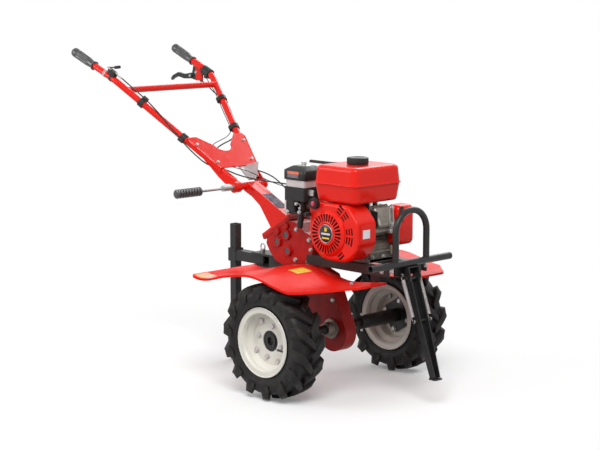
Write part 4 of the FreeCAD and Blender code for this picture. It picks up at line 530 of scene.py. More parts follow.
def turnedPiece(name, centre, direction, profile, finish, body="machine", steps=48, sharp=40, flutes=0, depth=0.0):
    verts, faces = [], []
    addLathe(verts, faces, profile, centre, direction, steps, 0.0, flutes, depth)
    return shapePiece(name, verts, faces, finish, body, None, sharp)


def flutedPiece(name, centre, direction, look, finish, body="machine", sharp=45):
    steps, flutes, depth = look["steps"], look["flutes"], look["depth"]
    return turnedPiece(name, centre, direction, look["profile"], finish, body, steps, sharp, flutes, depth)


def roundedOutline(width, height, corner, between=()):
    # five points round each corner, and more between the corners at these shares of each side
    signs = ((1, 1), (-1, 1), (-1, -1), (1, -1))
    inX, inY = width / 2 - corner, height / 2 - corner
    outline = []
    for index, (sx, sy) in enumerate(signs):
        for step in range(5):
            angle = math.radians(90 * index + 22.5 * step)
            outline.append((sx * inX + corner * math.cos(angle), sy * inY + corner * math.sin(angle)))
        x, y = outline[-1]
        nextX, nextY = signs[(index + 1) % 4]
        outline += [(x + (nextX - sx) * inX * share, y + (nextY - sy) * inY * share) for share in between]
    return outline


def facingAxes(sides):
    across, up = (Vector(side).normalized() for side in sides)
    return across, up, across.cross(up).normalized()


def addRings(faces, count, rings):
    # quads between closed rings of points
    for ring in range(rings - 1):
        for index in range(count):
            a, b = ring * count + index, ring * count + (index + 1) % count
            faces.append((a, b, b + count, a + count))


def loftPiece(name, centre, sides, layers, finish, body="machine", slot=None, sharp=35):
    # a closed form stacked from rounded rectangles; each layer is (width, height, corner, lift)
    across, up, normal = facingAxes(sides)
    verts, faces = [], []
    for width, height, corner, lift in layers:
        outline = roundedOutline(width, height, corner)
        verts += [centre + across * x + up * y + normal * lift for x, y in outline]
    count = len(outline)
    addRings(faces, count, len(layers))
    faces.append(tuple(reversed(range(count))))
    faces.append(tuple(range((len(layers) - 1) * count, len(layers) * count)))
    return shapePiece(name, verts, faces, finish, body, slot, sharp)


def blockPiece(name, centre, sides, size, finish, body="machine", slot=None):
    # a rounded block with chamfered edges; size is (width, height, corner, depth, edge)
    width, height, corner, depth, edge = size
    small = (width - 2 * edge, height - 2 * edge, corner)
    layers = [(*small, 0), (width, height, corner, edge), (width, height, corner, depth - edge), (*small, depth)]
    return loftPiece(name, centre, sides, layers, finish, body, slot)


def platePiece(name, look, finish, body):
    # a flat plate from its corners as (x, z), between two values of y
    count = len(look["corners"])
    verts = [at(x, y, z) for y in look["y"] for x, z in look["corners"]]
    faces = [tuple(range(count)), tuple(reversed(range(count, 2 * count)))]
    faces += [(i, i + count, (i + 1) % count + count, (i + 1) % count) for i in range(count)]
    piece = addPiece(name, meshFrom(name, verts, faces), finish, body, None, False)
    return bevelled(piece, look["edge"])


# how a sticker is laid: the reach of the search for its surface, the depth of its foot, the sizes of its rings
decalShape = {"search": 0.06, "sunk": -0.0006, "between": (0.25, 0.5, 0.75), "rings": (1.0, 0.8, 0.55, 0.3)}


def decalPiece(name, node, centre, sides, size, finish, lift=0.0005):
    # a thin sticker laid on a node's surface; size is (width, height, corner)
    look = decalShape
    surface = nodes[node].data
    tree = BVHTree.FromPolygons([v.co for v in surface.vertices], [tuple(p.vertices) for p in surface.polygons])
    across, up, normal = facingAxes(sides)

    def laid(x, y, raised):
        point = centre + across * x + up * y
        hit = tree.ray_cast(point + normal * look["search"], -normal)[0]
        return (hit if hit is not None else point) + normal * raised

    outline = roundedOutline(*size, look["between"])
    rings = [(1.0, look["sunk"])] + [(scale, lift) for scale in look["rings"]]
    verts = [laid(x * scale, y * scale, raised) for scale, raised in rings for x, y in outline]
    faces = []
    count = len(outline)
    addRings(faces, count, len(rings))
    verts.append(laid(0, 0, lift))
    last = (len(rings) - 1) * count
    faces += [(last + index, last + (index + 1) % count, len(verts) - 1) for index in range(count)]
    return shapePiece(name, verts, faces, finish, "machine", None, 60)


def addHexBolt(verts, faces, centre, direction, size, turn=0.0):
    # washer, six-sided head with chamfered corners and a stub of thread; size is the head's half width
    washer, thick, head, corner = size * 1.35, size * 0.22, size * 0.78, size / math.cos(math.pi / 6)
    addLathe(verts, faces, [
        (0.0001, 0), (washer * 0.96, 0), (washer, thick * 0.3), (washer, thick * 0.8),
        (washer * 0.95, thick), (size * 0.9, thick)], centre, direction, 24)
    addLathe(verts, faces, [
        (corner * 0.98, thick), (corner, thick + 0.0003), (corner, thick + head * 0.8), (corner * 0.92, thick + head),
        (size * 0.3, thick + head * 1.02), (0.0001, thick + head * 1.02)], centre, direction, 6, turn)


def boltSet(name, bolts, body="machine", finish="zinc"):
    verts, faces = [], []
    for bolt in bolts:
        addHexBolt(verts, faces, *bolt)
    return shapePiece(name, verts, faces, finish, body, None, 30)


def placeBolts(name, rows, turn):
    # each row: centre from the axle, direction of the head, half width
    boltSet(name, [(at(*centre), way, size, turn * index) for index, (centre, way, size) in enumerate(rows)])


def nurbsTube(name, points, radius, order=3, resolution=10, ring=5):
    # mesh tube along one smooth spline through its control points
    curve = bpy.data.curves.new(name + "Line", "CURVE")
    curve.dimensions = "3D"
    curve.resolution_u = resolution
    curve.bevel_depth = radius
    curve.bevel_resolution = ring
    curve.use_fill_caps = True
    spline = curve.splines.new("NURBS")
    spline.points.add(len(points) - 1)
    for index, point in enumerate(points):
        spline.points[index].co = (*point, 1.0)
    spline.order_u = order
    spline.use_endpoint_u = True
    holder = linkNew(name + "Line", curve)
    bpy.context.view_layer.update()
    data = bpy.data.meshes.new_from_object(holder.evaluated_get(bpy.context.evaluated_depsgraph_get()))
    bpy.data.objects.remove(holder)
    bpy.data.curves.remove(curve)
    data.name = name
    return data


def makeRod(name, points, radius, finish, body="machine"):
    order = 2 if len(points) == 2 else 3
    return addPiece(name, nurbsTube(name, [at(*point) for point in points], radius, order, 6, 3), finish, body)


# tyres

tyreShape = {
    "trackHalf": 0.315, "steps": 120, "lugs": 14, "lugSweep": 0.34, "rootFlare": 1.35, "softEdge": 0.0016,
    # a lug's width is stretched round the tyre, and between these shares of its sweep its edges lean
    "stretch": 1.2, "slant": -0.35, "slantShares": (0.1, 0.95),
    # radius and side offset from the bead out to the crown
    "carcass": [(0.1018, 0.044), (0.112, 0.0465), (0.1235, 0.0498), (0.1262, 0.0512), (0.129, 0.0548),
                (0.1318, 0.0556), (0.1342, 0.0548), (0.14, 0.0572), (0.152, 0.0596), (0.164, 0.0598),
                (0.174, 0.0566), (0.181, 0.049), (0.1848, 0.036), (0.1862, 0.018), (0.1866, 0.0)],
    # share of the lug's sweep, side offset, top radius, root radius, half width
    "lugLine": [(0.00, -0.006, 0.2042, 0.184, 0.008), (0.22, 0.01, 0.2046, 0.1838, 0.0088),
                (0.46, 0.026, 0.2044, 0.183, 0.0096), (0.7, 0.041, 0.2032, 0.18, 0.0106),
                (0.88, 0.054, 0.1996, 0.174, 0.0116), (0.97, 0.0622, 0.192, 0.165, 0.0114),
                (1.00, 0.0645, 0.179, 0.156, 0.01), (1.02, 0.0625, 0.164, 0.15, 0.0076)],
}


def addLug(verts, faces, side, start):
    # one tread bar from just past the crown's middle out over the shoulder
    look = tyreShape
    line, flare = look["lugLine"], look["rootFlare"]
    slantFrom, slantTo = look["slantShares"]
    first = len(verts)
    for share, offset, top, root, half in line:
        angle = start + look["lugSweep"] * share
        for radius, reach in ((root, half * flare), (top, half), (top, -half), (root, -half * flare)):
            turned = angle + reach * look["stretch"] / radius
            slide = reach * look["slant"] if slantFrom < share < slantTo else 0.0
            verts.append((radius * math.cos(turned), side * (offset + slide), radius * math.sin(turned)))
    for index in range(len(line) - 1):
        a = first + 4 * index
        b = a + 4
        faces += [(a + corner, a + corner + 1, b + corner + 1, b + corner) for corner in range(3)]
    last = first + 4 * (len(line) - 1)
    faces.append((first, first + 1, first + 2, first + 3))
    faces.append((last + 3, last + 2, last + 1, last))


def makeTyre(name, side, node, phase):
    look = tyreShape
    half, steps = look["carcass"], look["steps"]
    section = half + [(r, -o) for r, o in reversed(half[:-1])]
    verts, faces = [], []
    for step in range(steps):
        angle = 2 * math.pi * step / steps
        verts += [(radius * math.cos(angle), offset, radius * math.sin(angle)) for radius, offset in section]
    count = len(section)
    for step in range(steps):
        near, far = step * count, (step + 1) % steps * count
        for index in range(count):
            ahead = (index + 1) % count
            faces.append((near + index, far + index, far + ahead, near + ahead))
    pitch = 2 * math.pi / look["lugs"]
    for lug in range(look["lugs"]):
        addLug(verts, faces, 1, phase + lug * pitch)
        addLug(verts, faces, -1, phase + (lug + 0.5) * pitch)
    moved = [at(x, y + side * look["trackHalf"], z + axleZ) for x, y, z in verts]
    piece = addPiece(name, meshFrom(name, moved, faces), "tyreRubber", "wheels")
    bm = bmesh.new()
    bm.from_mesh(piece.data)
    bmesh.ops.recalc_face_normals(bm, faces=bm.faces)
    bm.to_mesh(piece.data)
    bm.free()
    bevelled(piece, look["softEdge"], 2, 38)
    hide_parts(node)


makeTyre("rightTyreTread", -1, "right_tyre", 0.25)
makeTyre("leftTyreTread", 1, "left_tyre", 0.3)
print("tyres done")


# cables

cableRoutes = {
    "throttleCable": {"node": "throttle_cable", "radius": 0.0025, "points": [
        (-0.921, -0.2338, 1.0661), (-0.8795, -0.2139, 1.0301), (-0.835, -0.1907, 0.9906),
        (-0.7792, -0.1824, 0.9488), (-0.7272, -0.1713, 0.9013), (-0.6788, -0.1546, 0.8475),
        (-0.6327, -0.128, 0.7937), (-0.5872, -0.0937, 0.7475), (-0.54, -0.05, 0.735), (-0.505, -0.034, 0.72),
        (-0.453, -0.03, 0.712), (-0.405, -0.029, 0.709), (-0.355, -0.028, 0.707), (-0.303, -0.026, 0.706),
        (-0.25, -0.021, 0.7045), (-0.2, -0.013, 0.702), (-0.15, -0.007, 0.699), (-0.105, -0.005, 0.695),
        (-0.06, -0.005, 0.692), (-0.0203, -0.004, 0.69)]},
    "clutchCable": {"node": "clutch_cable", "radius": 0.0025, "points": [
        (-1.0045, 0.244, 1.031), (-0.976, 0.239, 1.018), (-0.9514, 0.2352, 1.0079), (-0.9113, 0.2256, 0.9897),
        (-0.8703, 0.22, 0.9751), (-0.8271, 0.2129, 0.9574), (-0.7828, 0.1968, 0.9298),
        (-0.7464, 0.1779, 0.8913), (-0.7124, 0.1535, 0.8547), (-0.69, 0.132, 0.836), (-0.684, 0.104, 0.822),
        (-0.692, 0.074, 0.811), (-0.694, 0.046, 0.798), (-0.68, 0.026, 0.782), (-0.65, 0.019, 0.766),
        (-0.608, 0.024, 0.752), (-0.565, 0.034, 0.741), (-0.522, 0.045, 0.733), (-0.478, 0.053, 0.729),
        (-0.432, 0.059, 0.721), (-0.396, 0.064, 0.708), (-0.37, 0.071, 0.69), (-0.349, 0.08, 0.669),
        (-0.322, 0.091, 0.65), (-0.288, 0.101, 0.638), (-0.258, 0.108, 0.624), (-0.24, 0.113, 0.6015)]},
    "switchWire": {"node": "switch_wire", "radius": 0.0015, "points": [
        (-0.9659, 0.2308, 1.046), (-0.9247, 0.217, 1.0223), (-0.8812, 0.2012, 0.9958),
        (-0.8397, 0.1851, 0.9646), (-0.7977, 0.1677, 0.9301), (-0.7549, 0.1517, 0.8961),
        (-0.7117, 0.1338, 0.8657), (-0.699, 0.119, 0.848), (-0.698, 0.096, 0.834), (-0.706, 0.07, 0.823),
        (-0.712, 0.044, 0.812), (-0.706, 0.02, 0.797), (-0.684, 0.005, 0.779), (-0.65, -0.002, 0.763),
        (-0.61, -0.005, 0.751), (-0.565, -0.006, 0.742), (-0.52, -0.007, 0.737), (-0.475, -0.005, 0.733),
        (-0.43, 0.001, 0.722), (-0.385, 0.007, 0.708), (-0.338, 0.011, 0.696), (-0.288, 0.014, 0.688),
        (-0.236, 0.017, 0.683), (-0.184, 0.019, 0.677), (-0.132, 0.021, 0.668), (-0.082, 0.024, 0.654),
        (-0.036, 0.027, 0.636), (0.006, 0.029, 0.615), (0.0411, 0.03, 0.5983)]},
}


def makeCable(name, look):
    data = nurbsTube(name, [at(*point) for point in look["points"]], look["radius"])
    piece = addPiece(name, data, "sheath", None)
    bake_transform(piece)
    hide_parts(look["node"])


for name, look in cableRoutes.items():
    makeCable(name, look)
print("cables done")


# stand springs

springShape = {"top": (0.35, 0.445), "low": (0.40673, 0.29124), "y": 0.042, "coil": 0.006, "wire": 0.0012,
               "pin": 0.004, "turns": 40, "perTurn": 10, "hook": 0.016,
               "hookSteps": 8, "hookTurn": 240, "topFrom": -60, "lowFrom": 180}


def makeSpring(name, side):
    look = springShape
    top, low = (at(look[key][0], side * look["y"], look[key][1]) for key in ("top", "low"))
    along = (low - top).normalized()
    across = Vector((0, 1, 0))
    third = along.cross(across)
    reach, hookSteps = look["pin"] + look["wire"], look["hookSteps"]
    points = []

    def addHook(centre, first, way):
        for step in range(hookSteps + 1):
            angle = math.radians(first + way * look["hookTurn"] * step / hookSteps)
            points.append(centre + third * (reach * math.cos(angle)) - along * (way * reach * math.sin(angle)))

    addHook(top, look["topFrom"], 1)
    start = top + along * look["hook"]
    length = (low - top).length - 2 * look["hook"]
    count = look["turns"] * look["perTurn"]
    for step in range(count + 1):
        angle = 2 * math.pi * step / look["perTurn"]
        turned = third * (-look["coil"] * math.cos(angle)) + across * (look["coil"] * math.sin(angle))
        points.append(start + along * (length * step / count) + turned)
    addHook(low, look["lowFrom"], -1)
    piece = addPiece(name, nurbsTube(name, points, look["wire"], 3, 2, 2), "brushedBand", None)
    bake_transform(piece)
    return piece


springs = [makeSpring("rightSpring", -1), makeSpring("leftSpring", 1)]
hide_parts("stand_springs")
print("springs done")


# bolts

# alternate bolts sit on the hub's circle and the disc's: (radius of the circle, y of the nuts behind it)
wheelBolts = {"count": 8, "faceY": 0.331, "hub": (0.0565, 0.319), "disc": (0.077, 0.327), "firstAngle": -14.0,
              "size": 0.008, "boltTurn": 0.3, "nutTurn": 0.4}


def placeWheelBolts():
    look = wheelBolts
    for side, name in ((-1, "right"), (1, "left")):
        outside, inside = [], []
        for step in range(look["count"]):
            angle = math.radians(look["firstAngle"] + 360 / look["count"] * step)
            pitch, back = look["disc"] if step % 2 else look["hub"]
            x, z = pitch * math.cos(angle), axleZ + pitch * math.sin(angle)
            outside.append((at(x, side * look["faceY"], z), (0, side, 0), look["size"], look["boltTurn"] * step))
            inside.append((at(x, side * back, z), (0, -side, 0), look["size"], look["nutTurn"] * step))
        boltSet(name + "WheelBolts", outside, "wheels", "brushedBand")
        boltSet(name + "WheelNuts", inside, "wheels")


# each row: centre from the axle, direction of the head, half width
looseBolts = {
    "gearboxBolts": [
        ((-0.15, -0.062, 0.44), (0, -1, 0), 0.0065), ((-0.085, -0.062, 0.44), (0, -1, 0), 0.0065),
        ((-0.15, 0.062, 0.44), (0, 1, 0), 0.0065), ((-0.085, 0.062, 0.44), (0, 1, 0), 0.0065),
        ((-0.08, -0.062, 0.52), (0, -1, 0), 0.0065), ((-0.145, -0.062, 0.552), (0, -1, 0), 0.0065),
        ((-0.0712, -0.062, 0.4853), (0, -1, 0), 0.006)],
    "railBolts": [
        ((0.3081, -0.097, 0.4587), (0, -1, 0), 0.0058), ((0.3405, -0.0885, 0.4643), (1, 0, 0), 0.0058),
        ((0.3081, 0.097, 0.4587), (0, 1, 0), 0.0058), ((0.3405, 0.0885, 0.4643), (1, 0, 0), 0.0058)],
    "fenderBolts": [
        ((0.1974, -0.1292, 0.4062), (-0.09, 0, 1), 0.0062), ((0.1974, 0.1292, 0.4062), (-0.09, 0, 1), 0.0062)],
    "driveCaseBolts": [
        ((-0.105, -0.027, 0.375), (0, -1, 0), 0.007), ((-0.105, 0.027, 0.375), (0, 1, 0), 0.007),
        ((0.0055, -0.027, 0.3091), (0, -1, 0), 0.0062)],
}

# the left handle tube's axis: its lower end, its bend and its rear end
tubeLine = {"low": (-0.48, 0.0572, 0.6959), "bend": (-0.949, 0.245, 1.0582), "end": (-1.185, 0.255, 1.158)}

# distances along the tube from where the plate begins; lift is the tube's radius and the plate's thickness
plateBolts = {"fromX": -0.528, "along": (0.03, 0.132), "lift": 0.0166, "size": 0.0054, "turn": 0.2}


def placePlateBolts():
    # four bolts through the gusset plate into the handle tubes
    look = plateBolts
    (lowX, lowY, lowZ), (bendX, bendY, bendZ) = tubeLine["low"], tubeLine["bend"]
    slope = math.atan2(bendZ - lowZ, lowX - bendX)
    lean = Vector((math.sin(slope), 0, math.cos(slope)))
    bolts = []
    for along in look["along"]:
        for side in (-1, 1):
            x = look["fromX"] - along * math.cos(slope)
            share = (x - lowX) / (bendX - lowX)
            centre = at(x, side * (lowY + (bendY - lowY) * share), lowZ + (bendZ - lowZ) * share)
            bolts.append((centre + lean * look["lift"], lean, look["size"], look["turn"]))
    boltSet("plateBolts", bolts, "handlebar")


placeWheelBolts()
for name, rows in looseBolts.items():
    placeBolts(name, rows, 0.35)
placePlateBolts()
print("bolts done")


# grips

# the profile runs from the tube to the tip: radius, distance and share of the flutes
# past is how far the tip lies beyond the tube's end
gripShape = {"length": 0.134, "past": 0.006, "flutes": 13, "depth": 0.0022, "steps": 156, "profile": [
    (0.0126, 0.0, 0), (0.0176, 0.0, 0), (0.0184, 0.0008, 0), (0.0184, 0.0032, 0), (0.0176, 0.0042, 0),
    (0.015, 0.0052, 0), (0.015, 0.014, 0), (0.0158, 0.024, 0), (0.0168, 0.032, 0), (0.0172, 0.035, 1),
    (0.0175, 0.05, 1), (0.0178, 0.07, 1), (0.0179, 0.096, 1), (0.0179, 0.103, 0), (0.0166, 0.1052, 0),
    (0.0166, 0.1066, 0), (0.018, 0.1086, 0), (0.0184, 0.115, 0), (0.0182, 0.123, 0), (0.017, 0.1296, 0),
    (0.0142, 0.133, 0), (0.008, 0.134, 0), (0.0001, 0.134, 0)]}


def makeGrip(name, side, node):
    look = gripShape
    end = Vector(tubeLine["end"])
    along = (end - Vector(tubeLine["bend"])).normalized()
    end.y, along.y = side * end.y, side * along.y
    start = end - along * (look["length"] - look["past"])
    piece = flutedPiece(name, at(*start), along, look, "gripRubber", "handlebar", 50)
    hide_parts(node)


makeGrip("rightGripRubber", -1, "right_grip")
makeGrip("leftGripRubber", 1, "left_grip")
print("grips done")


# recoil starter

starterCentre = (0.125, 0.58)

discShape = {
    "y": -0.184, "face": [(0.0001, 0.0022), (0.0295, 0.0022), (0.0305, 0.0016), (0.0305, 0)],
    "rim": [(0.03, 0.0), (0.0303, 0.0026), (0.0312, 0.003), (0.0322, 0.0024), (0.0325, 0.0)],
    # plain blocks of colour: offset across and up, width, height, finish
    "marksY": -0.1861, "markCorner": 0.002, "markThick": 0.0005, "markEdge": 0.0001, "marks": [
        (0.0, 0.014, 0.011, 0.0125, "yellowPatch"), (0.0, -0.001, 0.042, 0.0065, "paleLabel"),
        (0.0, -0.016, 0.034, 0.0055, "yellowPatch")],
}

# painted shade: dark sheets behind the cooling slots stand in for the shade inside them, so that the slots read as
# openings
slotShade = {"ringY": -0.1802, "ring": 0.0712, "thick": 0.0006,
               "plateCentre": (0.1465, -0.164, 0.584), "plate": (0.219, 0.184, 0.08, 0.0012, 0.0003)}

starterShape = {
    "y": -0.172, "slots": 30, "perSlot": 9, "openSteps": 5, "wall": 0.0011,
    # radius and height of the cap from its middle out; the slots lie between the two marked rings
    "inner": [(0.0005, 0.012), (0.0345, 0.012), (0.036, 0.0132), (0.0382, 0.0138), (0.04, 0.0132),
              (0.0416, 0.0121), (0.0424, 0.0118)],
    "outer": [(0.0692, 0.0112), (0.0702, 0.011), (0.0718, 0.0098), (0.0774, 0.0052), (0.0792, 0.004),
              (0.08, 0.0028), (0.08, 0.0002)],
}

# painted shade: thin dark arcs laid on the housing over its slots. (inner, outer) radius of each row, then (first
# angle, last angle, rows) of each group, as the housing is cut
housingSlots = {"rows": [(0.085, 0.092), (0.097, 0.104), (0.109, 0.116)], "y": -0.1708, "thick": 0.0008,
                "steps": 8, "overlap": 0.0002,
                "groups": [(-18, -2, 3), (2, 15, 3), (33, 46, 3), (50, 64, 3), (-60, -42, 2)]}


def onStarter(y, across=0.0, up=0.0):
    # a point measured from the starter's middle
    return at(starterCentre[0] + across, y, starterCentre[1] + up)


def makeStarterDisc():
    centre = onStarter(discShape["y"])
    turnedPiece("starterDisc", centre, (0, -1, 0), discShape["face"], "darkLabel")
    turnedPiece("starterDiscRim", centre, (0, -1, 0), discShape["rim"], "zinc")


# painted shade: dark sheets behind the starter's and the housing's slots
def makeSlotShade():
    look = slotShade
    ring, thick = look["ring"], look["thick"]
    turnedPiece("starterSlotShade", onStarter(look["ringY"]), (0, -1, 0),
                [(0.0001, 0.0), (ring, 0.0), (ring, -thick), (0.0001, -thick)], "paintedSlotShade")
    blockPiece("housingSlotShade", at(*look["plateCentre"]), facing["right"], look["plate"], "paintedSlotShade")


def makeDiscMarks():
    look = discShape
    for index, (across, up, width, height, finish) in enumerate(look["marks"]):
        size = (width, height, look["markCorner"], look["markThick"], look["markEdge"])
        blockPiece("starterMark" + str(index + 1), onStarter(look["marksY"], across, up), facing["right"], size,
                   finish)


def makeStarterCover():
    look = starterShape
    rings = look["inner"] + look["outer"]
    slotRing, count = len(look["inner"]) - 1, len(rings)
    steps = look["slots"] * look["perSlot"]
    verts, faces = [], []
    for step in range(steps):
        angle = 2 * math.pi * step / steps
        verts += [onStarter(look["y"] - height, radius * math.cos(angle), radius * math.sin(angle))
                  for radius, height in rings]
    for step in range(steps):
        following = (step + 1) % steps
        for index in range(count - 1):
            if index == slotRing and step % look["perSlot"] < look["openSteps"]:
                continue
            a, b = step * count + index, following * count + index
            faces.append((a, a + 1, b + 1, b))
    piece = shapePiece("starterCover", verts, faces, "redPaint")
    wall = piece.modifiers.new("sheet", "SOLIDIFY")
    wall.thickness = look["wall"]
    wall.offset = -1.0
    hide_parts("recoil_starter")


# painted shade: thin dark arcs over the housing's slots, for the shade inside them
def makeHousingSlotShade():
    look = housingSlots
    steps, spare = look["steps"], look["overlap"]
    verts, faces = [], []
    for first, last, rows in look["groups"]:
        for inner, outer in look["rows"][:rows]:
            base = len(verts)
            for step in range(steps + 1):
                angle = math.radians(first + (last - first) * step / steps)
                for radius in (inner - spare, outer + spare):
                    for y in (look["y"], look["y"] + look["thick"]):
                        verts.append(onStarter(y, radius * math.cos(angle), radius * math.sin(angle)))
            for a in range(base, base + 4 * steps, 4):
                faces.append((a, a + 2, a + 6, a + 4))
                faces.append((a + 1, a + 5, a + 7, a + 3))
    addPiece("housingSlotShadeMarks", meshFrom("housingSlotShadeMarks", verts, faces), "paintedSlotShade", smooth=False)


makeStarterDisc()
makeSlotShade()
makeDiscMarks()
makeStarterCover()
makeHousingSlotShade()
print("starter done")


# air cleaner and switch

cleanerShape = {
    "centre": (-0.0925, -0.074), "capZ": 0.741, "width": 0.109, "length": 0.108, "corner": 0.011,
    # size lost on each side and height above the cap's foot
    "shoulders": [(0.001, 0.0), (0.0, 0.0012), (0.0, 0.0335), (0.0008, 0.0345), (0.0105, 0.041), (0.02, 0.0468),
                  (0.0215, 0.0478)],
    # wing nut and washer on the cap
    "nutCentre": (-0.095, -0.074), "topZ": 0.7884, "nutLift": 0.003, "wingLift": 0.0055, "wingReach": 0.0085,
    "washer": [(0.0258, 0.0), (0.0262, 0.0012), (0.025, 0.0022), (0.01, 0.0034), (0.0001, 0.0036)],
    "nut": [(0.0078, 0.0), (0.0078, 0.0028), (0.0062, 0.0044), (0.004, 0.0048), (0.0034, 0.0095), (0.0001, 0.01)],
    "wing": [(0.007, 0.0026, 0.0012, 0.0), (0.011, 0.003, 0.0014, 0.003), (0.01, 0.003, 0.0014, 0.007),
             (0.006, 0.0024, 0.0011, 0.0092)],
    # bolts on the right of the body: distance ahead of the axle, height, half width
    "boltY": -0.1262, "boltTurn": 0.4, "bolts": [
        (-0.126, 0.6245, 0.0062), (-0.08, 0.6575, 0.0052), (-0.063, 0.643, 0.004), (-0.065, 0.629, 0.0056)],
    "linkRadius": 0.0013, "link": [
        (-0.084, -0.1275, 0.658), (-0.074, -0.128, 0.661), (-0.064, -0.128, 0.659), (-0.056, -0.127, 0.65)],
}

# centre from the axle, facing, (width, height, corner), finish
cleanerLabels = {
    "cleanerLabelUpper": ((-0.0955, -0.128, 0.7668), "right", (0.057, 0.0105, 0.0016), "orangeLabel"),
    "cleanerLabelLower": ((-0.0965, -0.128, 0.7548), "right", (0.054, 0.0118, 0.0016), "greyLabel"),
}

# centre from the axle, facing, (width, height, corner, depth, edge), finish and its slot where that differs
cleanerBlocks = {
    "bandSeam": ((-0.048, -0.1238, 0.7285), "right", (0.0085, 0.0246, 0.0006, 0.0016, 0.0004), "brushedBand"),
    "cleanerStrip": ((-0.1345, -0.1262, 0.648), "right", (0.007, 0.036, 0.0016, 0.003, 0.0006), "paleLabel", "zinc"),
}
chokeBlocks = {
    "chokeBracket": ((-0.03, -0.101, 0.699), "right", (0.03, 0.022, 0.005, 0.006, 0.001), "zinc"),
}

switchShape = {
    "centre": (0.0665, -0.1905, 0.679), "flutes": 26, "depth": 0.0014, "steps": 156, "sunk": 0.0026,
    "profile": [(0.0185, -0.0165, 0.2), (0.0195, -0.015, 1.0), (0.0195, -0.001, 1.0), (0.0185, 0.0006, 0.4),
                (0.014, 0.001, 0.0), (0.0128, -0.002, 0.0), (0.0001, -0.0024, 0.0)],
    "rocker": [(0.015, 0.019, 0.006, 0.0), (0.015, 0.019, 0.006, 0.0045), (0.0125, 0.0165, 0.0055, 0.0062)],
}


def placeBlocks(rows):
    for name, (centre, face, size, finish, *slot) in rows.items():
        blockPiece(name, at(*centre), facing[face], size, finish, slot=slot[0] if slot else None)


def makeCleaner():
    look = cleanerShape
    x, y = look["centre"]
    layers = [(look["width"] - 2 * lost, look["length"] - 2 * lost, look["corner"], high)
              for lost, high in look["shoulders"]]
    cap = loftPiece("cleanerCap", at(x, y, look["capZ"]), facing["top"], layers, "moulded", sharp=50)
    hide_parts("air_cleaner_cap")
    nutX, nutY = look["nutCentre"]
    top = look["topZ"]
    turnedPiece("cleanerWasher", at(nutX, nutY, top), (0, 0, 1), look["washer"], "zinc", steps=40)
    turnedPiece("cleanerNut", at(nutX, nutY, top + look["nutLift"]), (0, 0, 1), look["nut"], "zinc", steps=24)
    for index, side in enumerate((-1, 1)):
        foot = at(nutX + side * look["wingReach"], nutY, top + look["wingLift"])
        loftPiece("cleanerWing" + str(index + 1), foot, facing["top"], look["wing"], "zinc", sharp=50)
    for name, (centre, face, size, finish) in cleanerLabels.items():
        decalPiece(name, "air_cleaner_cap", at(*centre), facing[face], size, finish)
    placeBlocks(cleanerBlocks)
    for index, (boltX, boltZ, size) in enumerate(look["bolts"]):
        bolt = (at(boltX, look["boltY"], boltZ), (0, -1, 0), size, look["boltTurn"] * index)
        boltSet("cleanerBolt" + str(index + 1), [bolt])
    makeRod("cleanerLink", look["link"], look["linkRadius"], "castAluminium")
    placeBlocks(chokeBlocks)


def makeSwitch():
    look = switchShape
    face = at(*look["centre"])
    flutedPiece("switchRing", face, (0, -1, 0), look, "moulded")
    sunk = face + Vector((0, look["sunk"], 0))
    loftPiece("switchRocker", sunk, facing["right"], look["rocker"], "roseSwitch", sharp=50)


makeCleaner()
makeSwitch()
print("air cleaner and switch done")


# small engine parts

# each block: centre from the axle, facing, (width, height, corner, depth, edge), finish
engineBlocks = {
    "tankBracket": ((0.205, -0.064, 0.669), "right", (0.03, 0.03, 0.004, 0.004, 0.0008), "castAluminium"),
    "tankBracketFoot": ((0.2, -0.068, 0.6515), "right", (0.016, 0.01, 0.003, 0.004, 0.0008), "zinc"),
    # painted shade: this dark plate stands for the shade in the gap between the cylinder head and the fan cover
    "headGapShade": ((0.237, -0.059, 0.631), "right", (0.03, 0.052, 0.006, 0.003, 0.0006), "moulded"),
    # a thin dark patch along the muffler shield's edge
    "shieldEdgeDarkPatch": ((0.2625, 0.049, 0.638), "front", (0.022, 0.056, 0.006, 0.0016, 0.0004), "exhaustSteel"),
    "caseFlange": ((0.209, -0.004, 0.508), "front", (0.15, 0.007, 0.002, 0.006, 0.001), "castAluminium"),
    "caseFoot": ((0.211, -0.004, 0.48), "front", (0.126, 0.012, 0.003, 0.01, 0.0012), "castAluminium"),
    "oilNeck": ((0.208, 0.056, 0.51), "front", (0.026, 0.034, 0.008, 0.014, 0.0016), "castAluminium"),
}

# cooling ribs on the crankcase's front, which leans back above leanZ; section is each corner's (depth, lift)
ribShape = {"count": 8, "lowZ": 0.524, "pitch": 0.0092, "frontX": 0.211, "leanZ": 0.535, "lean": 0.62,
            "edge": 0.0005, "section": [(0.02, 0.0), (0.0, 0.0004), (0.0, 0.0026), (0.02, 0.003)],
            "y": (-0.076, 0.034)}

oilPlugShape = {"centre": (0.2215, 0.056, 0.5165), "flutes": 12, "depth": 0.0012, "steps": 72, "profile": [
    (0.0105, 0.0, 0.0), (0.0112, 0.0012, 1.0), (0.0112, 0.0078, 1.0), (0.0098, 0.009, 0.3), (0.0001, 0.0094, 0.0)]}

coverStuds = {"radius": 0.0024, "ends": [(0.263, 0.613), (0.26, 0.662)],
              "y": {"coverStudNear": -0.01, "coverStudFar": 0.008}}

engineBolts = [
    ((0.2125, 0.011, 0.488), (1, 0, 0), 0.0062), ((0.213, -0.044, 0.49), (1, 0, 0), 0.0058),
    ((0.262, -0.001, 0.608), (1, 0, 0), 0.008), ((0.248, 0.008, 0.585), (1, 0, -0.3), 0.0085),
    ((0.26, 0.002, 0.666), (1, 0, 0.3), 0.006), ((0.213, -0.056, 0.596), (1, 0, 0.3), 0.005),
    ((0.212, -0.056, 0.556), (1, 0, 0.2), 0.005), ((0.203, -0.07, 0.652), (0, -1, 0), 0.0044)]


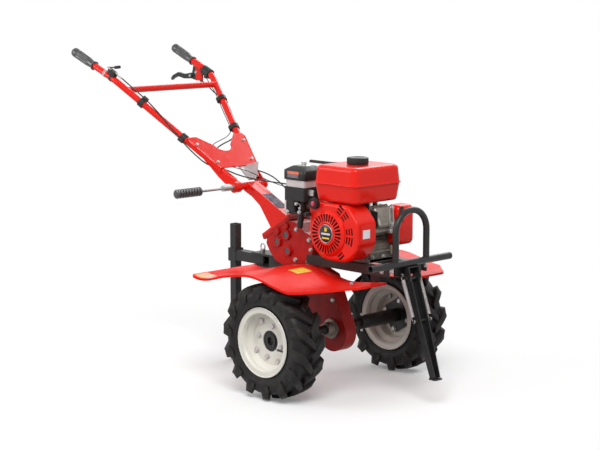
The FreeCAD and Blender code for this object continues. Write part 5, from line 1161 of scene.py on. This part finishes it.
def makeCaseRibs():
    look = ribShape
    verts, faces = [], []
    for step in range(look["count"]):
        z = look["lowZ"] + look["pitch"] * step
        front = look["frontX"] - max(0.0, z - look["leanZ"]) * look["lean"]
        base = len(verts)
        verts += [at(front - back, y, z + lift) for back, lift in look["section"] for y in look["y"]]
        faces += [(a, a + 1, a + 3, a + 2) for a in range(base, base + 6, 2)]
        faces.append((base, base + 2, base + 4, base + 6))
        faces.append((base + 1, base + 7, base + 5, base + 3))
        faces.append((base, base + 6, base + 7, base + 1))
    ribs = addPiece("caseRibs", meshFrom("caseRibs", verts, faces), "castAluminium", smooth=False)
    bevelled(ribs, look["edge"], 1)


def makeEngineBits():
    placeBlocks(engineBlocks)
    makeCaseRibs()
    flutedPiece("oilPlug", at(*oilPlugShape["centre"]), (1, 0, 0), oilPlugShape, "orangeLabel")
    for name, y in coverStuds["y"].items():
        makeRod(name, [(x, y, z) for x, z in coverStuds["ends"]], coverStuds["radius"], "zinc")
    placeBolts("engineBolts", engineBolts, 0.3)


makeEngineBits()
print("engine parts done")


# blank labels and reflectors

# each label: the node it lies on, centre from the axle, facing, (width, height, corner), finish, thickness
facing["column"] = ((1, 0, -0.62), (0, 1, 0))
labelSpots = {
    "housingLabel": ("fan_cover", (0.263, -0.1275, 0.5865), "front", (0.0345, 0.03, 0.0012), "whiteLabel", 0.0005),
    "columnLabel": ("column", (-0.318, 0.0, 0.64), "column", (0.098, 0.046, 0.004), "slateLabel", 0.0005),
    "fenderPatch": ("right_fender", (-0.008, -0.178, 0.436), "top", (0.048, 0.072, 0.004), "yellowPatch", 0.0005),
    "rearReflector": (
        "right_fender", (-0.314, -0.348, 0.402), "top", (0.054, 0.062, 0.005), "amberReflector", 0.0022),
    "rearReflectorPale": (
        "right_fender", (-0.272, -0.36, 0.402), "top", (0.026, 0.03, 0.005), "paleLabel", 0.0022),
}

for name, (node, centre, face, size, finish, thick) in labelSpots.items():
    decalPiece(name, node, at(*centre), facing[face], size, finish, thick)
print("labels done")


# controls on the handlebar

clampGripShape = {"centre": (-0.455, 0.678), "near": -0.2495, "far": -0.3685, "ribs": 9, "outer": 0.0168,
                  "shoulder": 0.0156, "groove": 0.0118}

# upright plate beside the far arm, with its corners as (x, z)
clampPlate = {"corners": [(-0.53, 0.744), (-0.452, 0.765), (-0.459, 0.706), (-0.497, 0.702)],
              "y": (0.035, 0.0385), "edge": 0.0008}

# red bracket plate over the clutch lever's pivot, with its corners as (x, z)
clutchPlate = {
    "corners": [(-1.0435, 1.096), (-1.0435, 1.033), (-1.0412, 1.0312), (-1.0055, 1.0312), (-1.0035, 1.033),
                (-1.0035, 1.085)],
    "y": (0.2405, 0.2495), "edge": 0.001,
}
clutchBolts = [((-1.0385, 0.2405, 1.064), 0.0044, 0.2), ((-1.066, 0.233, 1.05), 0.0046, 0.5)]

# sleeves round the tubes' rear length: x of the middle of one end, side, length, radius, finish
sleeves = {
    "throttleBand": (-0.963, -1, 0.011, 0.0142, "blackPaint"),
    "clutchSleeve": (-1.004, 1, 0.05, 0.015, "redPaint"),
    "tubeTie1": (-0.999, -1, 0.0034, 0.0139, "paleLabel"),
    "tubeTie2": (-1.006, -1, 0.0034, 0.0139, "paleLabel"),
}

# small throttle on top of the right tube; x is a piece's place along the tube, lift its height above the axis
throttleShape = {
    "body": {"x": -0.972, "lift": 0.0095, "size": (0.042, 0.021, 0.005, 0.0205, 0.002)},
    "plate": {"x": -0.988, "lift": 0.0292, "size": (0.024, 0.019, 0.006, 0.0045, 0.001)},
    "armRadius": 0.0026, "arm": [(-0.986, -0.2466, 1.105), (-0.965, -0.2458, 1.1075), (-0.94, -0.2435, 1.1085)],
    "knob": {"centre": (-0.936, -0.243, 1.103), "sides": ((1, 0, 0.12), (0, 1, 0)),
             "size": (0.03, 0.016, 0.006, 0.0115, 0.0025)},
    "barrelRadius": 0.0038, "barrel": [(-0.9206, -0.2336, 1.0658), (-0.9459, -0.2457, 1.0877)],
}

# the bar between the tubes, at its full thickness
crossbarShape = {"start": (-0.903, -0.2225, 1.0227), "profile": [
    (0.0001, 0.0), (0.0117, 0.0), (0.0117, 0.445), (0.0001, 0.445)]}


def makeClampGrip():
    look = clampGripShape
    x, z = look["centre"]
    length = look["near"] - look["far"]
    pitch = length / look["ribs"]
    groove, outer, shoulder = look["groove"], look["outer"], look["shoulder"]
    profile = [(0.006, 0.0), (groove, 0.0002)]
    for rib in range(look["ribs"]):
        low = rib * pitch
        profile += [(radius, low + pitch * share) for radius, share in (
            (groove, 0.08), (shoulder, 0.16), (outer, 0.24), (outer, 0.62), (shoulder, 0.7), (groove, 0.8))]
    profile += [(groove - 0.001, length), (0.0001, length)]
    near = at(x, look["near"], z)
    piece = turnedPiece("clampGripRubber", near, (0, -1, 0), profile, "gripRubber", "handlebar", 36, 50)
    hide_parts("clamp_grip")


def tubeFrame(x, side):
    # a point on the rear length of a handle tube, with the directions along, across and up it
    bend, end = tubeLine["bend"], tubeLine["end"]
    share = (x - bend[0]) / (end[0] - bend[0])
    middle = at(x, side * (bend[1] + (end[1] - bend[1]) * share), bend[2] + (end[2] - bend[2]) * share)
    along = Vector((end[0] - bend[0], side * (end[1] - bend[1]), end[2] - bend[2])).normalized()
    across = along.cross(Vector((0, 0, 1))).normalized()
    return middle, along, across, across.cross(along).normalized()


def makeSleeve(name, inner=0.0125, edge=0.0005):
    x, side, length, radius, finish = sleeves[name]
    middle, along, _, _ = tubeFrame(x, side)
    turnedPiece(name, middle, along, [
        (inner, 0.0), (radius - edge, 0.0), (radius, edge), (radius, length - edge), (radius - edge, length),
        (inner, length)], finish, "handlebar", 40)


def throttleBlock(name, look, finish):
    middle, along, across, up = tubeFrame(look["x"], -1)
    return blockPiece(name, middle + up * look["lift"], (along, -across), look["size"], finish, "handlebar")


def makeThrottle():
    look = throttleShape
    body = throttleBlock("throttleBody", look["body"], "moulded")
    makeSleeve("throttleBand")
    throttleBlock("throttlePlate", look["plate"], "zinc")
    makeRod("throttleArm", look["arm"], look["armRadius"], "blackPaint", "handlebar")
    knob = look["knob"]
    blockPiece("throttleKnob", at(*knob["centre"]), knob["sides"], knob["size"], "moulded", "handlebar")
    makeRod("throttleBarrel", look["barrel"], look["barrelRadius"], "zinc", "handlebar")
    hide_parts("throttle_lever")


makeClampGrip()
platePiece("clampPlate", clampPlate, "brushedBand", "handlebar")
makeThrottle()
platePiece("clutchPlate", clutchPlate, "redPaint", "handlebar")
makeSleeve("clutchSleeve")
boltSet("clutchBolts", [(at(*centre), (0, -1, 0), size, turn) for centre, size, turn in clutchBolts], "handlebar")
turnedPiece("crossbarSkin", at(*crossbarShape["start"]), (0, 1, 0), crossbarShape["profile"], "redPaint",
            "handlebar", sharp=50)
makeSleeve("tubeTie1")
makeSleeve("tubeTie2")
print("controls done")


# fuel cap

fuelCapShape = {"centre": (0.146, -0.05, 0.8125), "flutes": 36, "depth": 0.0016, "steps": 216, "profile": [
    (0.034, 0.0, 0.0), (0.0372, 0.001, 0.4), (0.0379, 0.0025, 1.0), (0.0379, 0.0195, 1.0), (0.0368, 0.0222, 0.5),
    (0.0335, 0.0236, 0.0), (0.024, 0.0236, 0.0), (0.0215, 0.0222, 0.0), (0.008, 0.023, 0.0), (0.0001, 0.0232, 0.0)]}

fuelCap = flutedPiece("fuelCapRibbed", at(*fuelCapShape["centre"]), (0, 0, 1), fuelCapShape, "moulded")
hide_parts("fuel_cap")
print("fuel cap done")


print("done")
